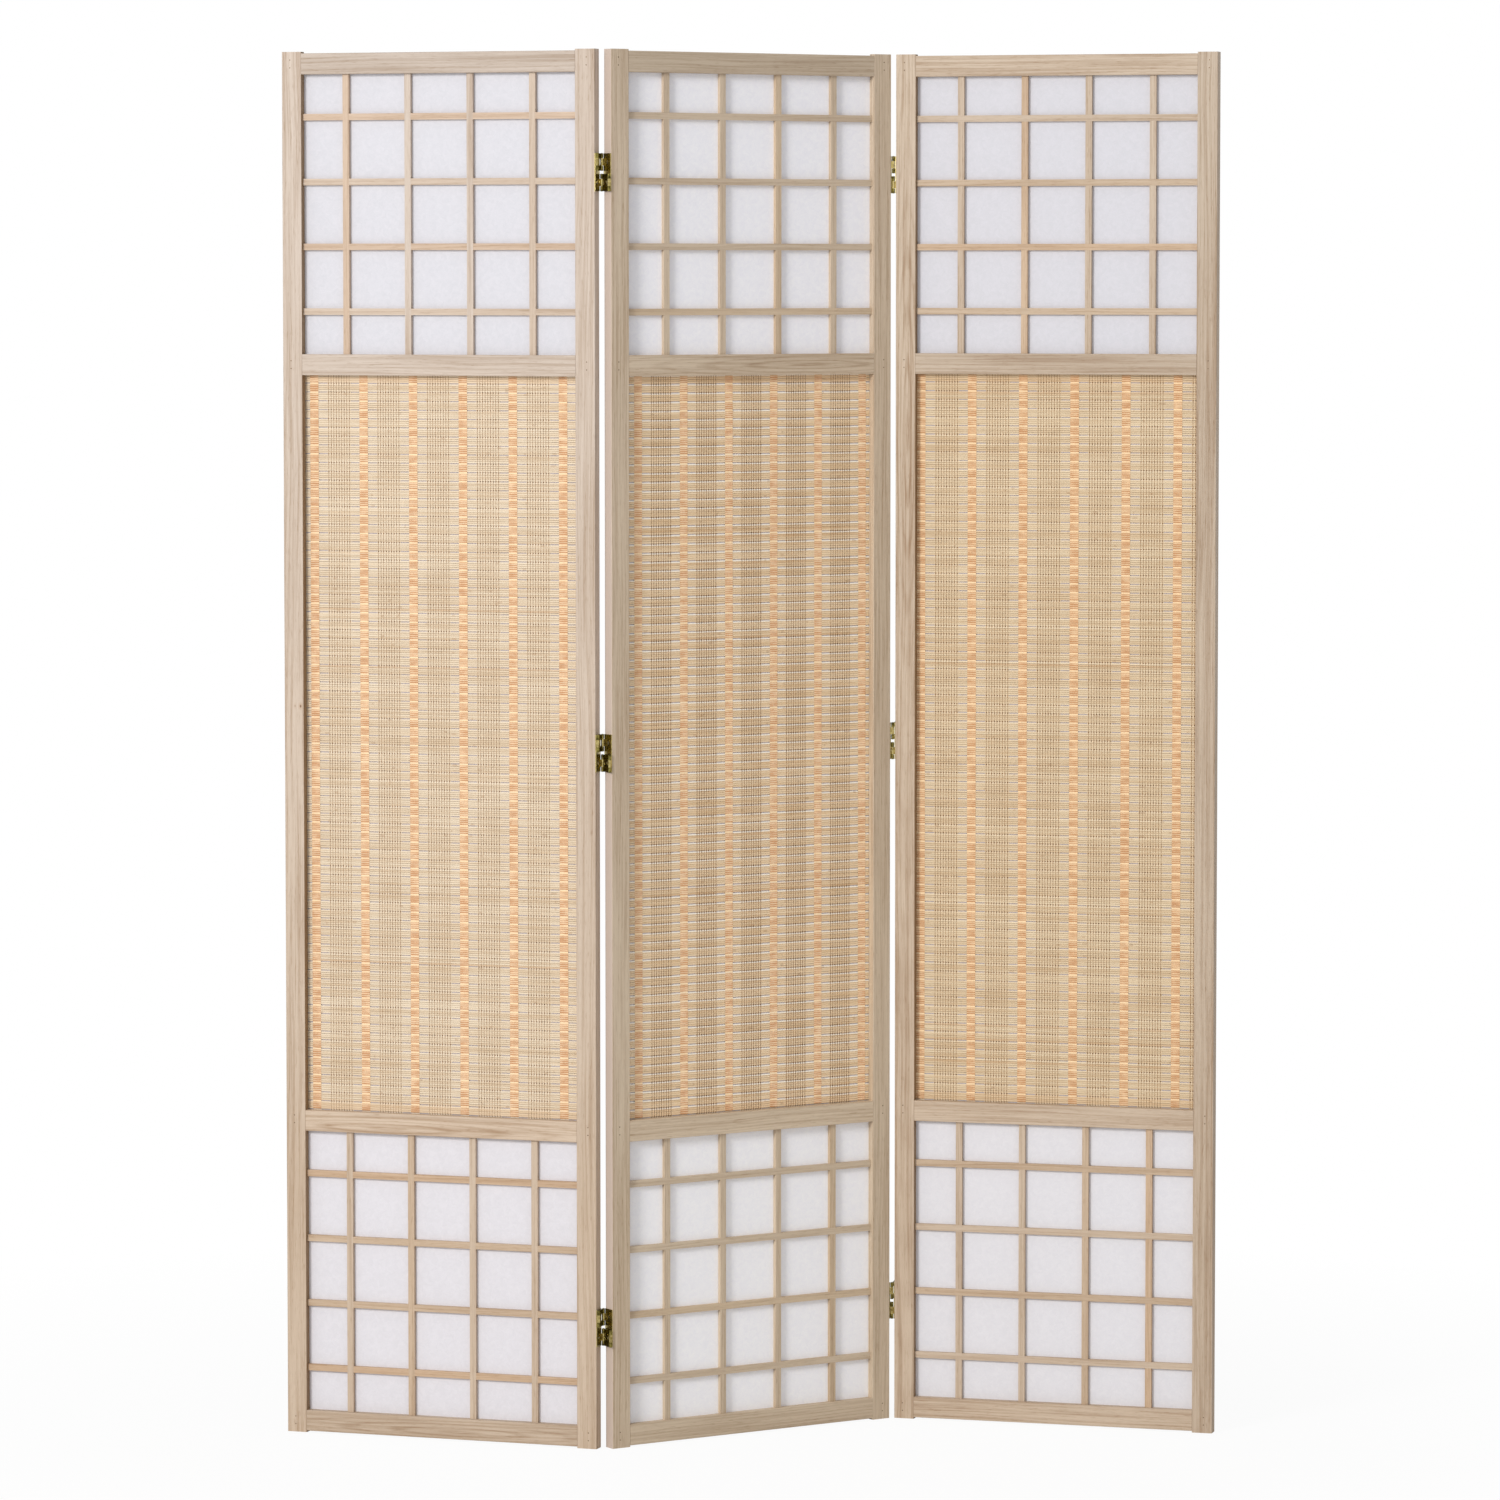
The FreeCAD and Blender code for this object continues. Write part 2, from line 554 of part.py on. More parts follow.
def screen():
    """Every node of the screen, centred over its origin on the floor."""
    nodes = {}
    nodes.update(panel_pieces("left_panel", False, True, uprights_in_front=True))
    nodes.update(panel_pieces("middle_panel", True, True, uprights_in_front=False))
    nodes.update(panel_pieces("right_panel", True, False, uprights_in_front=False))
    nodes.update(hinge_pieces("left_hinges", "left_panel", "middle_panel", "left_panel"))
    nodes.update(hinge_pieces("right_hinges", "middle_panel", "right_panel", "right_panel"))
    nodes["left_panel_hinge_screws"] = placed(hinge_screws(False, True), "left_panel")
    nodes["middle_panel_hinge_screws"] = placed(hinge_screws(True, True), "middle_panel")
    nodes["right_panel_hinge_screws"] = placed(hinge_screws(True, False), "right_panel")
    box = Part.makeCompound(list(nodes.values())).optimalBoundingBox()
    shift = vector(-box.Center.x, -box.Center.y, 0)
    return {name: shape.translated(shift) for name, shape in nodes.items()}, shift


def main():
    os.makedirs("parts", exist_ok=True)
    nodes, shift = screen()
    for name, shape in nodes.items():
        shape.exportStep(f"parts/{name}.step")
    back_pivot = LEFT_AXIS + shift
    front_pivot = RIGHT_AXIS + shift
    print(f"{len(nodes)} nodes")
    print(f"left fold axis at {back_pivot.x:.3f}, {back_pivot.y:.3f}")
    print(f"right fold axis at {front_pivot.x:.3f}, {front_pivot.y:.3f}")


if __name__ == "__main__":
    main()
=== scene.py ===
# %% [markdown]
# # A shoji folding screen, dressed over its CAD frame
# Three pale wooden panels stand in a zigzag. Each has a half-lapped lattice over paper at the top
# and at the bottom, and a mat of tied bamboo slats between. Brass double-action hinges join the
# panels. The CAD parts hold every size. This script adds what they leave out: grain, the mats'
# slats and threads, paper fibre, metal, light and camera. All lengths are metres.

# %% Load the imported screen
import json
import math
import random
import bmesh
import bpy
from mathutils import Matrix, Vector


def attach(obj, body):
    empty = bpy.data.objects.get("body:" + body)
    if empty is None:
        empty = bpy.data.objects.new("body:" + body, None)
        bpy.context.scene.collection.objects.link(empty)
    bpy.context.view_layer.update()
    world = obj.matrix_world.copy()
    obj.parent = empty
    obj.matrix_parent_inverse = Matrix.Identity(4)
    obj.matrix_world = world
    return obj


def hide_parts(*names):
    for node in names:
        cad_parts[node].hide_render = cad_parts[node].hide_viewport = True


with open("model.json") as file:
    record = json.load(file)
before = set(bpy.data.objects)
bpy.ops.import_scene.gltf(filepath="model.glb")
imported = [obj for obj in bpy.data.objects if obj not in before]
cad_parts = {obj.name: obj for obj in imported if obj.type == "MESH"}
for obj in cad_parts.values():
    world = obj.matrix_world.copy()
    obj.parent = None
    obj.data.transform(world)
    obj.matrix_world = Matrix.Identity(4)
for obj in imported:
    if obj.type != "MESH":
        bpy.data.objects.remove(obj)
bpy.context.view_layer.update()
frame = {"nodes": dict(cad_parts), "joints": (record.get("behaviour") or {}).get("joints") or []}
print("pieces in the frame:", len(frame["nodes"]))

# %% [markdown]
# ## The camera
# The photograph was taken from far away with a long lens, a little above the middle of the screen
# and tilted slightly down. A camera fitted to the frame's corners gives these numbers.

# %% Camera
camera_data = bpy.data.cameras.new("camera")
camera_data.lens = 158.31
camera_data.sensor_width = 36.0
camera_data.shift_y = -0.035
camera_data.clip_end = 100.0
camera = bpy.data.objects.new("camera", camera_data)
camera.location = (-0.0015, -8.5093, 1.5099)
camera.rotation_euler = (math.radians(90.0 - 3.706), 0.0, 0.0)
bpy.context.scene.collection.objects.link(camera)
bpy.context.scene.camera = camera
print("camera distance", round(-camera.location.y, 3))

# %% [markdown]
# ## Where each panel stands
# A panel has its own frame: U runs along its width, V runs back from its face, Z is up. Patterns
# such as grain must follow the panel, not the room, so each material starts by turning the room's
# coordinates into the panel's. The hinge axes in the frame give the panels' places exactly.

# %% Panel frames
PANEL_WIDTH = 0.427
FRAME_THICKNESS = 0.017
AXIS_OFFSET = 0.0033
AXIS_PROUD = 0.0005
MIDDLE_ANGLE = 32.57
joints = {joint["name"]: joint for joint in frame["joints"]}
left_pivot = Vector(joints["left_fold"]["pos_m"])
right_pivot = Vector(joints["right_fold"]["pos_m"])
panel_angle = {
    "left_panel": math.radians(MIDDLE_ANGLE + joints["left_fold"]["range_deg"][0]),
    "middle_panel": math.radians(MIDDLE_ANGLE),
    "right_panel": math.radians(MIDDLE_ANGLE + joints["right_fold"]["range_deg"][0]),
}


def corner_from(pivot, angle, u, v):
    """Lower left front corner of a panel whose pivot lies at (u, v) in its own frame."""
    corner = pivot - Matrix.Rotation(angle, 3, "Z") @ Vector((u, v, 0.0))
    return Vector((corner.x, corner.y, 0.0))


back_axis = FRAME_THICKNESS + AXIS_PROUD
far_edge = PANEL_WIDTH + AXIS_OFFSET
panel_corner = {
    "left_panel": corner_from(left_pivot, panel_angle["left_panel"], far_edge, back_axis),
    "middle_panel": corner_from(left_pivot, panel_angle["middle_panel"], -AXIS_OFFSET, back_axis),
    "right_panel": corner_from(right_pivot, panel_angle["right_panel"], -AXIS_OFFSET, -AXIS_PROUD),
}
PANELS = list(panel_corner)
for panel in PANELS:
    print(panel, "corner", [round(c, 4) for c in panel_corner[panel]])


def panel_matrix(panel):
    """From the panel's own frame to the room."""
    return Matrix.Translation(panel_corner[panel]) @ Matrix.Rotation(panel_angle[panel], 4, "Z")


# %% [markdown]
# ## Colours
# A colour is easiest to pick on a screen, where each part runs from 0 to 255. Shaders reckon in
# linear light, so every picked colour is turned once, here, and the recipes below keep the picked
# numbers.

# %% Colours
def srgb(red, green, blue):
    """A colour picked on screen, 0 to 255, as the linear values that shaders use."""
    linear = []
    for value in (red, green, blue):
        c = value / 255.0
        linear.append(c / 12.92 if c <= 0.04045 else ((c + 0.055) / 1.055) ** 2.4)
    return (linear[0], linear[1], linear[2], 1.0)


def shaded(color, factor):
    """A colour made darker or lighter."""
    return (color[0] * factor, color[1] * factor, color[2] * factor, 1.0)


print("mid grey on a screen is", round(srgb(128, 128, 128)[0], 3), "in a shader")


# %% [markdown]
# ## Helpers for shader nodes
# A material is a small graph. It could be drawn by hand in the editor, but a script can be read
# and run again. These helpers add a node, set its values and join it, so that the recipes below
# read in the order of the work.

# %% Node helpers
def add(tree, kind, values=None, **settings):
    """A new node with its settings, and its inputs set to values or joined to other sockets."""
    node = tree.nodes.new(kind)
    for name, setting in settings.items():
        setattr(node, name, setting)
    for key, value in (values or {}).items():
        if isinstance(value, bpy.types.NodeSocket):
            tree.links.new(value, node.inputs[key])
        else:
            node.inputs[key].default_value = value
    return node


def calc(tree, operation, a, b=0.0, clamp=False):
    """A Math node's result."""
    node = add(tree, "ShaderNodeMath", {0: a, 1: b}, operation=operation, use_clamp=clamp)
    return node.outputs[0]


def vector_calc(tree, operation, a, b):
    return add(tree, "ShaderNodeVectorMath", {0: a, 1: b}, operation=operation).outputs[0]


def scaled(tree, vector, factor):
    """A vector made longer or shorter."""
    values = {0: vector, "Scale": factor}
    return add(tree, "ShaderNodeVectorMath", values, operation="SCALE").outputs[0]


def length(tree, vector):
    return add(tree, "ShaderNodeVectorMath", {0: vector}, operation="LENGTH").outputs["Value"]


def noise(tree, vector, scale, detail=2.0, roughness=0.5):
    values = {"Vector": vector, "Scale": scale, "Detail": detail, "Roughness": roughness}
    return add(tree, "ShaderNodeTexNoise", values).outputs["Fac"]


def spread(tree, value, low, high, to_low=0.0, to_high=1.0):
    """A value's range from low to high, stretched to another range and clamped there."""
    values = {
        "Value": value, "From Min": low, "From Max": high, "To Min": to_low, "To Max": to_high,
    }
    return add(tree, "ShaderNodeMapRange", values, clamp=True).outputs["Result"]


def mixed(tree, factor, a, b, blend="MIX"):
    """Two colours mixed by a factor."""
    node = tree.nodes.new("ShaderNodeMix")
    node.data_type = "RGBA"
    node.blend_type = blend
    for index, value in ((0, factor), (6, a), (7, b)):
        if isinstance(value, bpy.types.NodeSocket):
            tree.links.new(value, node.inputs[index])
        else:
            node.inputs[index].default_value = value
    return node.outputs[2]


helpers = (add, calc, vector_calc, scaled, length, noise, spread, mixed)
print("node helpers:", ", ".join(helper.__name__ for helper in helpers))


# %% [markdown]
# ## Helpers for groups and materials
# An effect that several materials share, such as grain, is a node group with named sockets: it is
# written once, and each material gives it its own colours. A material turns the room's
# coordinates into its panel's before it uses them.

# %% Group and material helpers
def new_group(name, inputs, outputs):
    """An empty node group with named sockets. Returns its tree, input sockets and output node."""
    tree = bpy.data.node_groups.new(name, "ShaderNodeTree")
    for label, kind, value in inputs:
        socket = tree.interface.new_socket(label, in_out="INPUT", socket_type="NodeSocket" + kind)
        socket.default_value = value
    for label, kind in outputs:
        tree.interface.new_socket(label, in_out="OUTPUT", socket_type="NodeSocket" + kind)
    entry = tree.nodes.new("NodeGroupInput")
    leave = tree.nodes.new("NodeGroupOutput")
    return tree, entry.outputs, leave


def give(tree, leave, **results):
    """Joins results to a group's outputs. An underscore in a name stands for a space."""
    for name, socket in results.items():
        tree.links.new(socket, leave.inputs[name.replace("_", " ")])


def new_material(name, roughness=0.5):
    """A material with one Principled shader. Returns the material, its tree and the shader."""
    material = bpy.data.materials.new(name)
    material.use_nodes = True
    tree = material.node_tree
    shader = tree.nodes["Principled BSDF"]
    shader.inputs["Roughness"].default_value = roughness
    return material, tree, shader


def panel_place(tree, panel):
    """The shaded point in the panel's own frame: U, V and Z in metres."""
    coordinates = tree.nodes.new("ShaderNodeTexCoord").outputs["Object"]
    values = {
        "Vector": coordinates,
        "Location": panel_corner[panel],
        "Rotation": (0.0, 0.0, panel_angle[panel]),
    }
    return add(tree, "ShaderNodeMapping", values, vector_type="TEXTURE").outputs["Vector"]


def use_group(tree, group_tree, settings):
    """A node group in a material, with its inputs set or joined."""
    group = add(tree, "ShaderNodeGroup", node_tree=group_tree)
    for key, value in settings.items():
        if isinstance(value, bpy.types.NodeSocket):
            tree.links.new(value, group.inputs[key])
        else:
            group.inputs[key].default_value = value
    return group


def bump(tree, shader, height, distance):
    """Joins a height map, 0 to 1, to a shader's normal. distance is the height's full size."""
    values = {"Height": height, "Distance": distance, "Strength": 1.0}
    normal = add(tree, "ShaderNodeBump", values).outputs["Normal"]
    tree.links.new(normal, shader.inputs["Normal"])


def finish_shader(tree, shader, color, group, distance):
    """Joins a colour and a group's roughness and height to a shader."""
    tree.links.new(color, shader.inputs["Base Color"])
    tree.links.new(group.outputs["Roughness"], shader.inputs["Roughness"])
    bump(tree, shader, group.outputs["Height"], distance)


print("a material's parts:", ", ".join(f.__name__ for f in (panel_place, use_group, finish_shader)))

# %% [markdown]
# ## Planed wood
# The frame is a light, straight-grained softwood such as paulownia. Three things show: growth
# lines a few millimetres apart that wander slowly, fine fibre along the grain, and on some pieces
# a nest of long arches where the saw cut across the rings. Noise squeezed across and stretched
# along the grain gives the first two. The length of a stretched vector gives the nested arches.

# %% Wood grain group
GRAIN_WANDER = 0.02
RING_PITCH = 0.0042
grain_tree, grain_in, grain_out = new_group(
    "wood grain",
    [
        ("Vector", "Vector", (0.0, 0.0, 0.0)), ("Seed", "Float", 0.0),
        ("Pale", "Color", (0.7, 0.6, 0.5, 1.0)), ("Dark", "Color", (0.5, 0.4, 0.3, 1.0)),
        ("Lines", "Float", 0.5), ("Fibre", "Float", 0.3), ("Arches", "Float", 0.0),
        ("Arch Centre", "Vector", (0.0, 0.0, 0.0)),
    ],
    [("Color", "Color"), ("Roughness", "Float"), ("Height", "Float")],
)

# A board's own place in the noise, and the slow wander of its grain
seed_shift = scaled(grain_tree, (0.371, 0.113, 1.717), grain_in["Seed"])
moved = vector_calc(grain_tree, "ADD", grain_in["Vector"], seed_shift)
slow = vector_calc(grain_tree, "MULTIPLY", moved, (4.0, 4.0, 2.2))
wander = calc(grain_tree, "SUBTRACT", noise(grain_tree, slow, 1.0), 0.5)
wander = calc(grain_tree, "MULTIPLY", wander, GRAIN_WANDER)
wandering = add(grain_tree, "ShaderNodeCombineXYZ", {"X": wander}).outputs[0]

# Growth lines, pores, fibre and broad patches: noise stretched more or less along Z
bent = vector_calc(grain_tree, "ADD", moved, wandering)
along = vector_calc(grain_tree, "MULTIPLY", bent, (1.0, 1.0, 0.012))
lines = spread(grain_tree, noise(grain_tree, along, 330.0, 3.0, 0.65), 0.44, 0.64)
pore_place = vector_calc(grain_tree, "MULTIPLY", moved, (1.0, 1.0, 0.07))
pores = spread(grain_tree, noise(grain_tree, pore_place, 1100.0, 1.0), 0.60, 0.70)
hair = vector_calc(grain_tree, "MULTIPLY", moved, (1.0, 1.0, 0.025))
fibre = spread(grain_tree, noise(grain_tree, hair, 1500.0, 2.0, 0.6), 0.3, 0.75)
patches = vector_calc(grain_tree, "MULTIPLY", moved, (1.0, 1.0, 0.12))
broad = spread(grain_tree, noise(grain_tree, patches, 30.0, 1.0), 0.3, 0.7, -0.14, 0.14)

# Nested arches: rings round a centre, drawn out along the grain and fading away from it
arch_place = vector_calc(grain_tree, "SUBTRACT", grain_in["Vector"], grain_in["Arch Centre"])
arch_shape = vector_calc(grain_tree, "MULTIPLY", arch_place, (1.0, 0.5, 0.06))
sway = calc(grain_tree, "MULTIPLY", wander, 0.25)
sway = add(grain_tree, "ShaderNodeCombineXYZ", {"X": sway}).outputs[0]
ragged = vector_calc(grain_tree, "ADD", arch_shape, sway)
distance = length(grain_tree, ragged)
rings = calc(grain_tree, "SINE", calc(grain_tree, "MULTIPLY", distance, 2.0 * math.pi / RING_PITCH))
ring_lines = spread(grain_tree, rings, -0.1, 1.0)
near = spread(grain_tree, distance, 0.004, 0.02, 1.0, 0.25)
arches = calc(grain_tree, "MULTIPLY", ring_lines, near)
arches = calc(grain_tree, "MULTIPLY", arches, grain_in["Arches"])

# All of it added up, from pale wood at 0 to dark wood at 1
plain = calc(grain_tree, "MULTIPLY", lines, grain_in["Lines"])
both = calc(grain_tree, "ADD", calc(grain_tree, "ADD", plain, arches), broad)
both = calc(grain_tree, "ADD", both, calc(grain_tree, "MULTIPLY", pores, 0.3))
hairs = calc(grain_tree, "MULTIPLY", fibre, grain_in["Fibre"])
shade = calc(grain_tree, "ADD", both, hairs, clamp=True)
wood_color = mixed(grain_tree, shade, grain_in["Pale"], grain_in["Dark"])
wood_gloss = spread(grain_tree, shade, 0.0, 1.0, 0.52, 0.68)
furrows = calc(grain_tree, "ADD", calc(grain_tree, "MULTIPLY", fibre, 0.6), calc(
    grain_tree, "MULTIPLY", lines, 0.4))
wood_height = calc(grain_tree, "SUBTRACT", 1.0, furrows)
give(grain_tree, grain_out, Color=wood_color, Roughness=wood_gloss, Height=wood_height)
print("wood grain group:", len(grain_tree.nodes), "nodes")

# %% [markdown]
# A few things lie on top of the grain. A lattice node holds four bars, so a ramp with four flat
# steps across them gives each bar a tone of its own. A knot is a dark spot in a paler ring, longer
# along the grain. A left stile's two narrow faces differ from its front: the inner one stands in
# the shade of the opening and is darkened further with painted shade, and the outer one was left
# rougher and greyer.

# %% Tints, knots and edges
STILE = 0.0265
# Painted shade: this tint darkens the inner face of a left stile, beyond the opening's own shade.
INNER_PAINTED_SHADE = (0.52, 0.41, 0.27, 1.0)
EDGE_COLOR = srgb(200, 183, 170)
KNOT_RING = srgb(170, 138, 104)
KNOT_HEART = srgb(112, 80, 54)
SKIN = 0.0001


def bar_tints(tree, across, first, pitch, tints):
    """Four flat tones, one for each bar of a lattice."""
    position = spread(tree, across, first - pitch / 2, first + pitch * 3.5)
    ramp = tree.nodes.new("ShaderNodeValToRGB")
    ramp.color_ramp.interpolation = "CONSTANT"
    stops = ramp.color_ramp.elements
    stops[0].position = 0.0
    stops[0].color = tints[0]
    stops[1].position = 0.25
    stops[1].color = tints[1]
    for i in (2, 3):
        stops.new(0.25 * i).color = tints[i]
    tree.links.new(position, ramp.inputs["Fac"])
    return ramp.outputs["Color"]


def knotted(tree, color, place, u, z, radius, strength):
    """A colour with one small knot in it."""
    offset = vector_calc(tree, "SUBTRACT", place, (u, 0.0, z))
    offset = vector_calc(tree, "MULTIPLY", offset, (1.0, 0.2, 0.6))
    away = length(tree, offset)
    ring = spread(tree, away, radius, radius * 3, strength * 0.5, 0.0)
    heart = spread(tree, away, radius * 0.6, radius, strength, 0.0)
    return mixed(tree, heart, mixed(tree, ring, color, KNOT_RING), KNOT_HEART)


def edged(tree, color, u):
    """A left stile's colour, with painted shade on its inner face and its outer face set apart."""
    # The inner face takes the painted shade tint.
    inner = spread(tree, u, STILE - 3 * SKIN, STILE - SKIN)
    color = mixed(tree, inner, color, INNER_PAINTED_SHADE, "MULTIPLY")
    outer = spread(tree, u, SKIN, 3 * SKIN, 1.0, 0.0)
    return mixed(tree, outer, color, EDGE_COLOR)


print("a stile is", STILE, "m wide")


# %% [markdown]
# One function makes every wooden piece's material. Grain runs up a stile and along a rail, so a
# level piece swaps U and Z before the group. Towards the floor the wood of the photograph turns
# warmer.

# %% Wood materials
LOW_TINT = {
    "left_panel": (0.96, 0.90, 0.80, 1.0),
    "middle_panel": (1.0, 1.0, 0.98, 1.0),
    "right_panel": (1.0, 0.98, 0.96, 1.0),
}


def wood(name, panel, level, pale, dark, seed, lines=0.5, fibre=0.25, arches=0.0,
         centre=(0.0, 0.0, 0.0), bars=None, knots=()):
    """Planed wood on one panel. bars is (first centre, pitch, four tints) across a lattice; each
    knot is (u, z, radius, strength)."""
    material, tree, shader = new_material(name)
    place = panel_place(tree, panel)
    parts = add(tree, "ShaderNodeSeparateXYZ", {0: place}).outputs
    order = ("Z", "Y", "X") if level else ("X", "Y", "Z")
    values = {axis: parts[source] for axis, source in zip("XYZ", order)}
    settings = {
        "Vector": add(tree, "ShaderNodeCombineXYZ", values).outputs[0], "Pale": pale, "Dark": dark,
        "Lines": lines, "Fibre": fibre, "Arches": arches, "Arch Centre": centre, "Seed": seed,
    }
    group = use_group(tree, grain_tree, settings)
    color = group.outputs["Color"]
    if bars:
        tints = bar_tints(tree, parts["Z"] if level else parts["X"], *bars)
        color = mixed(tree, 1.0, color, tints, "MULTIPLY")
    for knot in knots:
        color = knotted(tree, color, place, *knot)
    low = spread(tree, parts["Z"], 0.3, 1.5, 1.0, 0.0)
    color = mixed(tree, low, color, LOW_TINT[panel], "MULTIPLY")
    if name.endswith("left_stile"):
        color = edged(tree, color, parts["X"])
    finish_shader(tree, shader, color, group, 0.00012)
    return material


def dress(node, material):
    """Gives a CAD node its material."""
    for slot in frame["nodes"][node].material_slots:
        slot.material = material


print("wood() and dress() are ready for", len(frame["nodes"]), "nodes")

# %% [markdown]
# The three panels were cut from different boards, and the light falls on them differently. Colours
# are picked so that the render matches the photograph under this scene's light, so part of that
# light is painted into them. Some boards are darker or paler than the rest of their panel, partly
# in their own tone and partly as painted light and shade; four show arches, and one stile has two
# knots.

# %% Frame members
WOOD = {
    "left_panel": (srgb(202, 187, 173), srgb(159, 135, 112)),
    "middle_panel": (srgb(206, 188, 165), srgb(160, 135, 108)),
    "right_panel": (srgb(199, 181, 160), srgb(152, 124, 96)),
}
# Each factor is partly the board's own tone and partly painted light and shade, such as darker top
# rails and paler lower rails.
BOARD_TONE_AND_PAINTED_LIGHT = {
    ("left_panel", "top_rail"): 0.87,
    ("left_panel", "upper_rail"): 0.95,
    ("left_panel", "lower_rail"): 1.09,
    ("left_panel", "bottom_rail"): 0.94,
    ("middle_panel", "top_rail"): 0.88,
    ("middle_panel", "lower_rail"): 1.06,
    ("right_panel", "right_stile"): 0.92,
    ("right_panel", "upper_rail"): 0.90,
}
ARCHED = {
    ("left_panel", "lower_rail"): (0.402, 0.0, 0.14),
    ("left_panel", "bottom_rail"): (0.012, 0.0, 0.24),
    ("right_panel", "left_stile"): (0.016, 0.0, 1.30),
    ("middle_panel", "upper_rail"): (1.388, 0.0, 0.30),
}
ARCH_STRENGTH = 0.4
KNOTS = {
    ("left_panel", "left_stile"): (
        (0.0222, 0.9473, 0.0013, 0.9), (0.0145, 0.9475, 0.0011, 0.35),
    ),
}
MEMBERS = ("left_stile", "right_stile", "top_rail", "upper_rail", "lower_rail", "bottom_rail")
seed = 1.0
for panel in PANELS:
    pale, dark = WOOD[panel]
    for member in MEMBERS:
        seed += 1.37
        centre = ARCHED.get((panel, member))
        board_tone_and_light = BOARD_TONE_AND_PAINTED_LIGHT.get((panel, member), 1.0)
        material = wood(
            f"planed wood, {panel} {member}", panel, member.endswith("rail"),
            shaded(pale, board_tone_and_light), shaded(dark, board_tone_and_light), seed,
            arches=ARCH_STRENGTH if centre else 0.0, centre=centre or (0.0, 0.0, 0.0),
            knots=KNOTS.get((panel, member), ()),
        )
        dress(f"{panel}_{member}", material)
    bead = wood(
        f"bead wood, {panel}", panel, False, srgb(205, 180, 148), srgb(160, 128, 95), seed + 0.5)
    dress(f"{panel}_rear_beads", bead)
print("frame members dressed:", len(PANELS) * len(MEMBERS), "and", len(PANELS), "sets of beads")

# %% [markdown]
# ## Lattice bars
# Thin bars show the same wood, and single bars are visibly redder than the rest.

# %% Lattices
UPRIGHTS = (0.086, 0.085)
CROSSBARS = {"upper": (1.4567, 0.0832), "lower": (0.0848, 0.0848)}
EVEN = (1.0, 1.0, 1.0, 1.0)
WARM = (1.0, 0.90, 0.79, 1.0)
HONEY = (0.99, 0.95, 0.89, 1.0)
TINTS = {
    ("left_panel", "upper", "uprights"): (WARM, EVEN, EVEN, HONEY),
    ("left_panel", "upper", "crossbars"): (HONEY, WARM, HONEY, WARM),
    ("left_panel", "lower", "uprights"): (EVEN, HONEY, EVEN, EVEN),
    ("left_panel", "lower", "crossbars"): (WARM, HONEY, HONEY, WARM),
    ("middle_panel", "upper", "uprights"): (EVEN, EVEN, HONEY, EVEN),
    ("middle_panel", "upper", "crossbars"): (HONEY, EVEN, EVEN, EVEN),
    ("middle_panel", "lower", "uprights"): (EVEN, EVEN, EVEN, HONEY),
    ("middle_panel", "lower", "crossbars"): (EVEN, HONEY, EVEN, EVEN),
    ("right_panel", "upper", "uprights"): (EVEN, WARM, EVEN, EVEN),
    ("right_panel", "upper", "crossbars"): (HONEY, WARM, HONEY, EVEN),
    ("right_panel", "lower", "uprights"): (EVEN, EVEN, HONEY, WARM),
    ("right_panel", "lower", "crossbars"): (EVEN, HONEY, EVEN, HONEY),
}
for (panel, part, kind), tints in TINTS.items():
    seed += 0.83
    pale, dark = WOOD[panel]
    level = kind == "crossbars"
    first, pitch = CROSSBARS[part] if level else UPRIGHTS
    material = wood(
        f"lattice wood, {panel} {part} {kind}", panel, level, pale, dark, seed, lines=0.4,
        bars=(first, pitch, tints),
    )
    dress(f"{panel}_{part}_lattice_{kind}", material)
print("lattices dressed:", len(TINTS))

# %% [markdown]
# ## Screen paper
# The paper is white with a cool cast. Long pale fibres lie in it every way. Noise twisted by more
# noise gives their cloudy swirl, and a faint bump gives the surface.

# %% Paper fibre group
paper_tree, paper_in, paper_out = new_group(
    "paper fibre",
    [("Vector", "Vector", (0.0, 0.0, 0.0)), ("Sheet", "Color", (0.8, 0.8, 0.8, 1.0)),
     ("Fibre", "Color", (0.9, 0.9, 0.9, 1.0))],
    [("Color", "Color"), ("Height", "Float")],
)
swirl_values = {"Vector": paper_in["Vector"], "Scale": 90.0}
swirl = add(paper_tree, "ShaderNodeTexNoise", swirl_values).outputs["Color"]
twisted = vector_calc(paper_tree, "ADD", paper_in["Vector"], scaled(paper_tree, swirl, 0.02))
cloud = spread(paper_tree, noise(paper_tree, twisted, 160.0, 4.0, 0.6), 0.35, 0.65)
strands = noise(paper_tree, twisted, 520.0, 1.0, 0.4)
strand_lines = spread(paper_tree, calc(paper_tree, "ABSOLUTE", calc(
    paper_tree, "SUBTRACT", strands, 0.5)), 0.0, 0.03, 1.0, 0.0)
paper_fleck = calc(paper_tree, "ADD", calc(paper_tree, "MULTIPLY", cloud, 0.6), calc(
    paper_tree, "MULTIPLY", strand_lines, 0.5), clamp=True)
paper_color = mixed(paper_tree, paper_fleck, paper_in["Sheet"], paper_in["Fibre"])
give(paper_tree, paper_out, Color=paper_color, Height=paper_fleck)
print("paper fibre group:", len(paper_tree.nodes), "nodes")


# %% [markdown]
# The middle panel turns away from the lamp, and the papers low down catch light from the floor.
# Each sheet has its own two colours, for the ground and for the fibres, that fit the photograph, so
# part of that light is painted into them: the middle sheets are paler than the left and right ones,
# and the lower sheets paler than the upper ones. The sheets behind the mats are greyer, with
# painted shade from the slats in front of them.

# %% Papers
def screen_paper(name, panel, sheet, fibre_color):
    material, tree, shader = new_material(f"screen paper, {name}", 0.8)
    settings = {"Vector": panel_place(tree, panel), "Sheet": sheet, "Fibre": fibre_color}
    group = use_group(tree, paper_tree, settings)
    tree.links.new(group.outputs["Color"], shader.inputs["Base Color"])
    shader.inputs["Specular IOR Level"].default_value = 0.2
    bump(tree, shader, group.outputs["Height"], 0.00003)
    return material
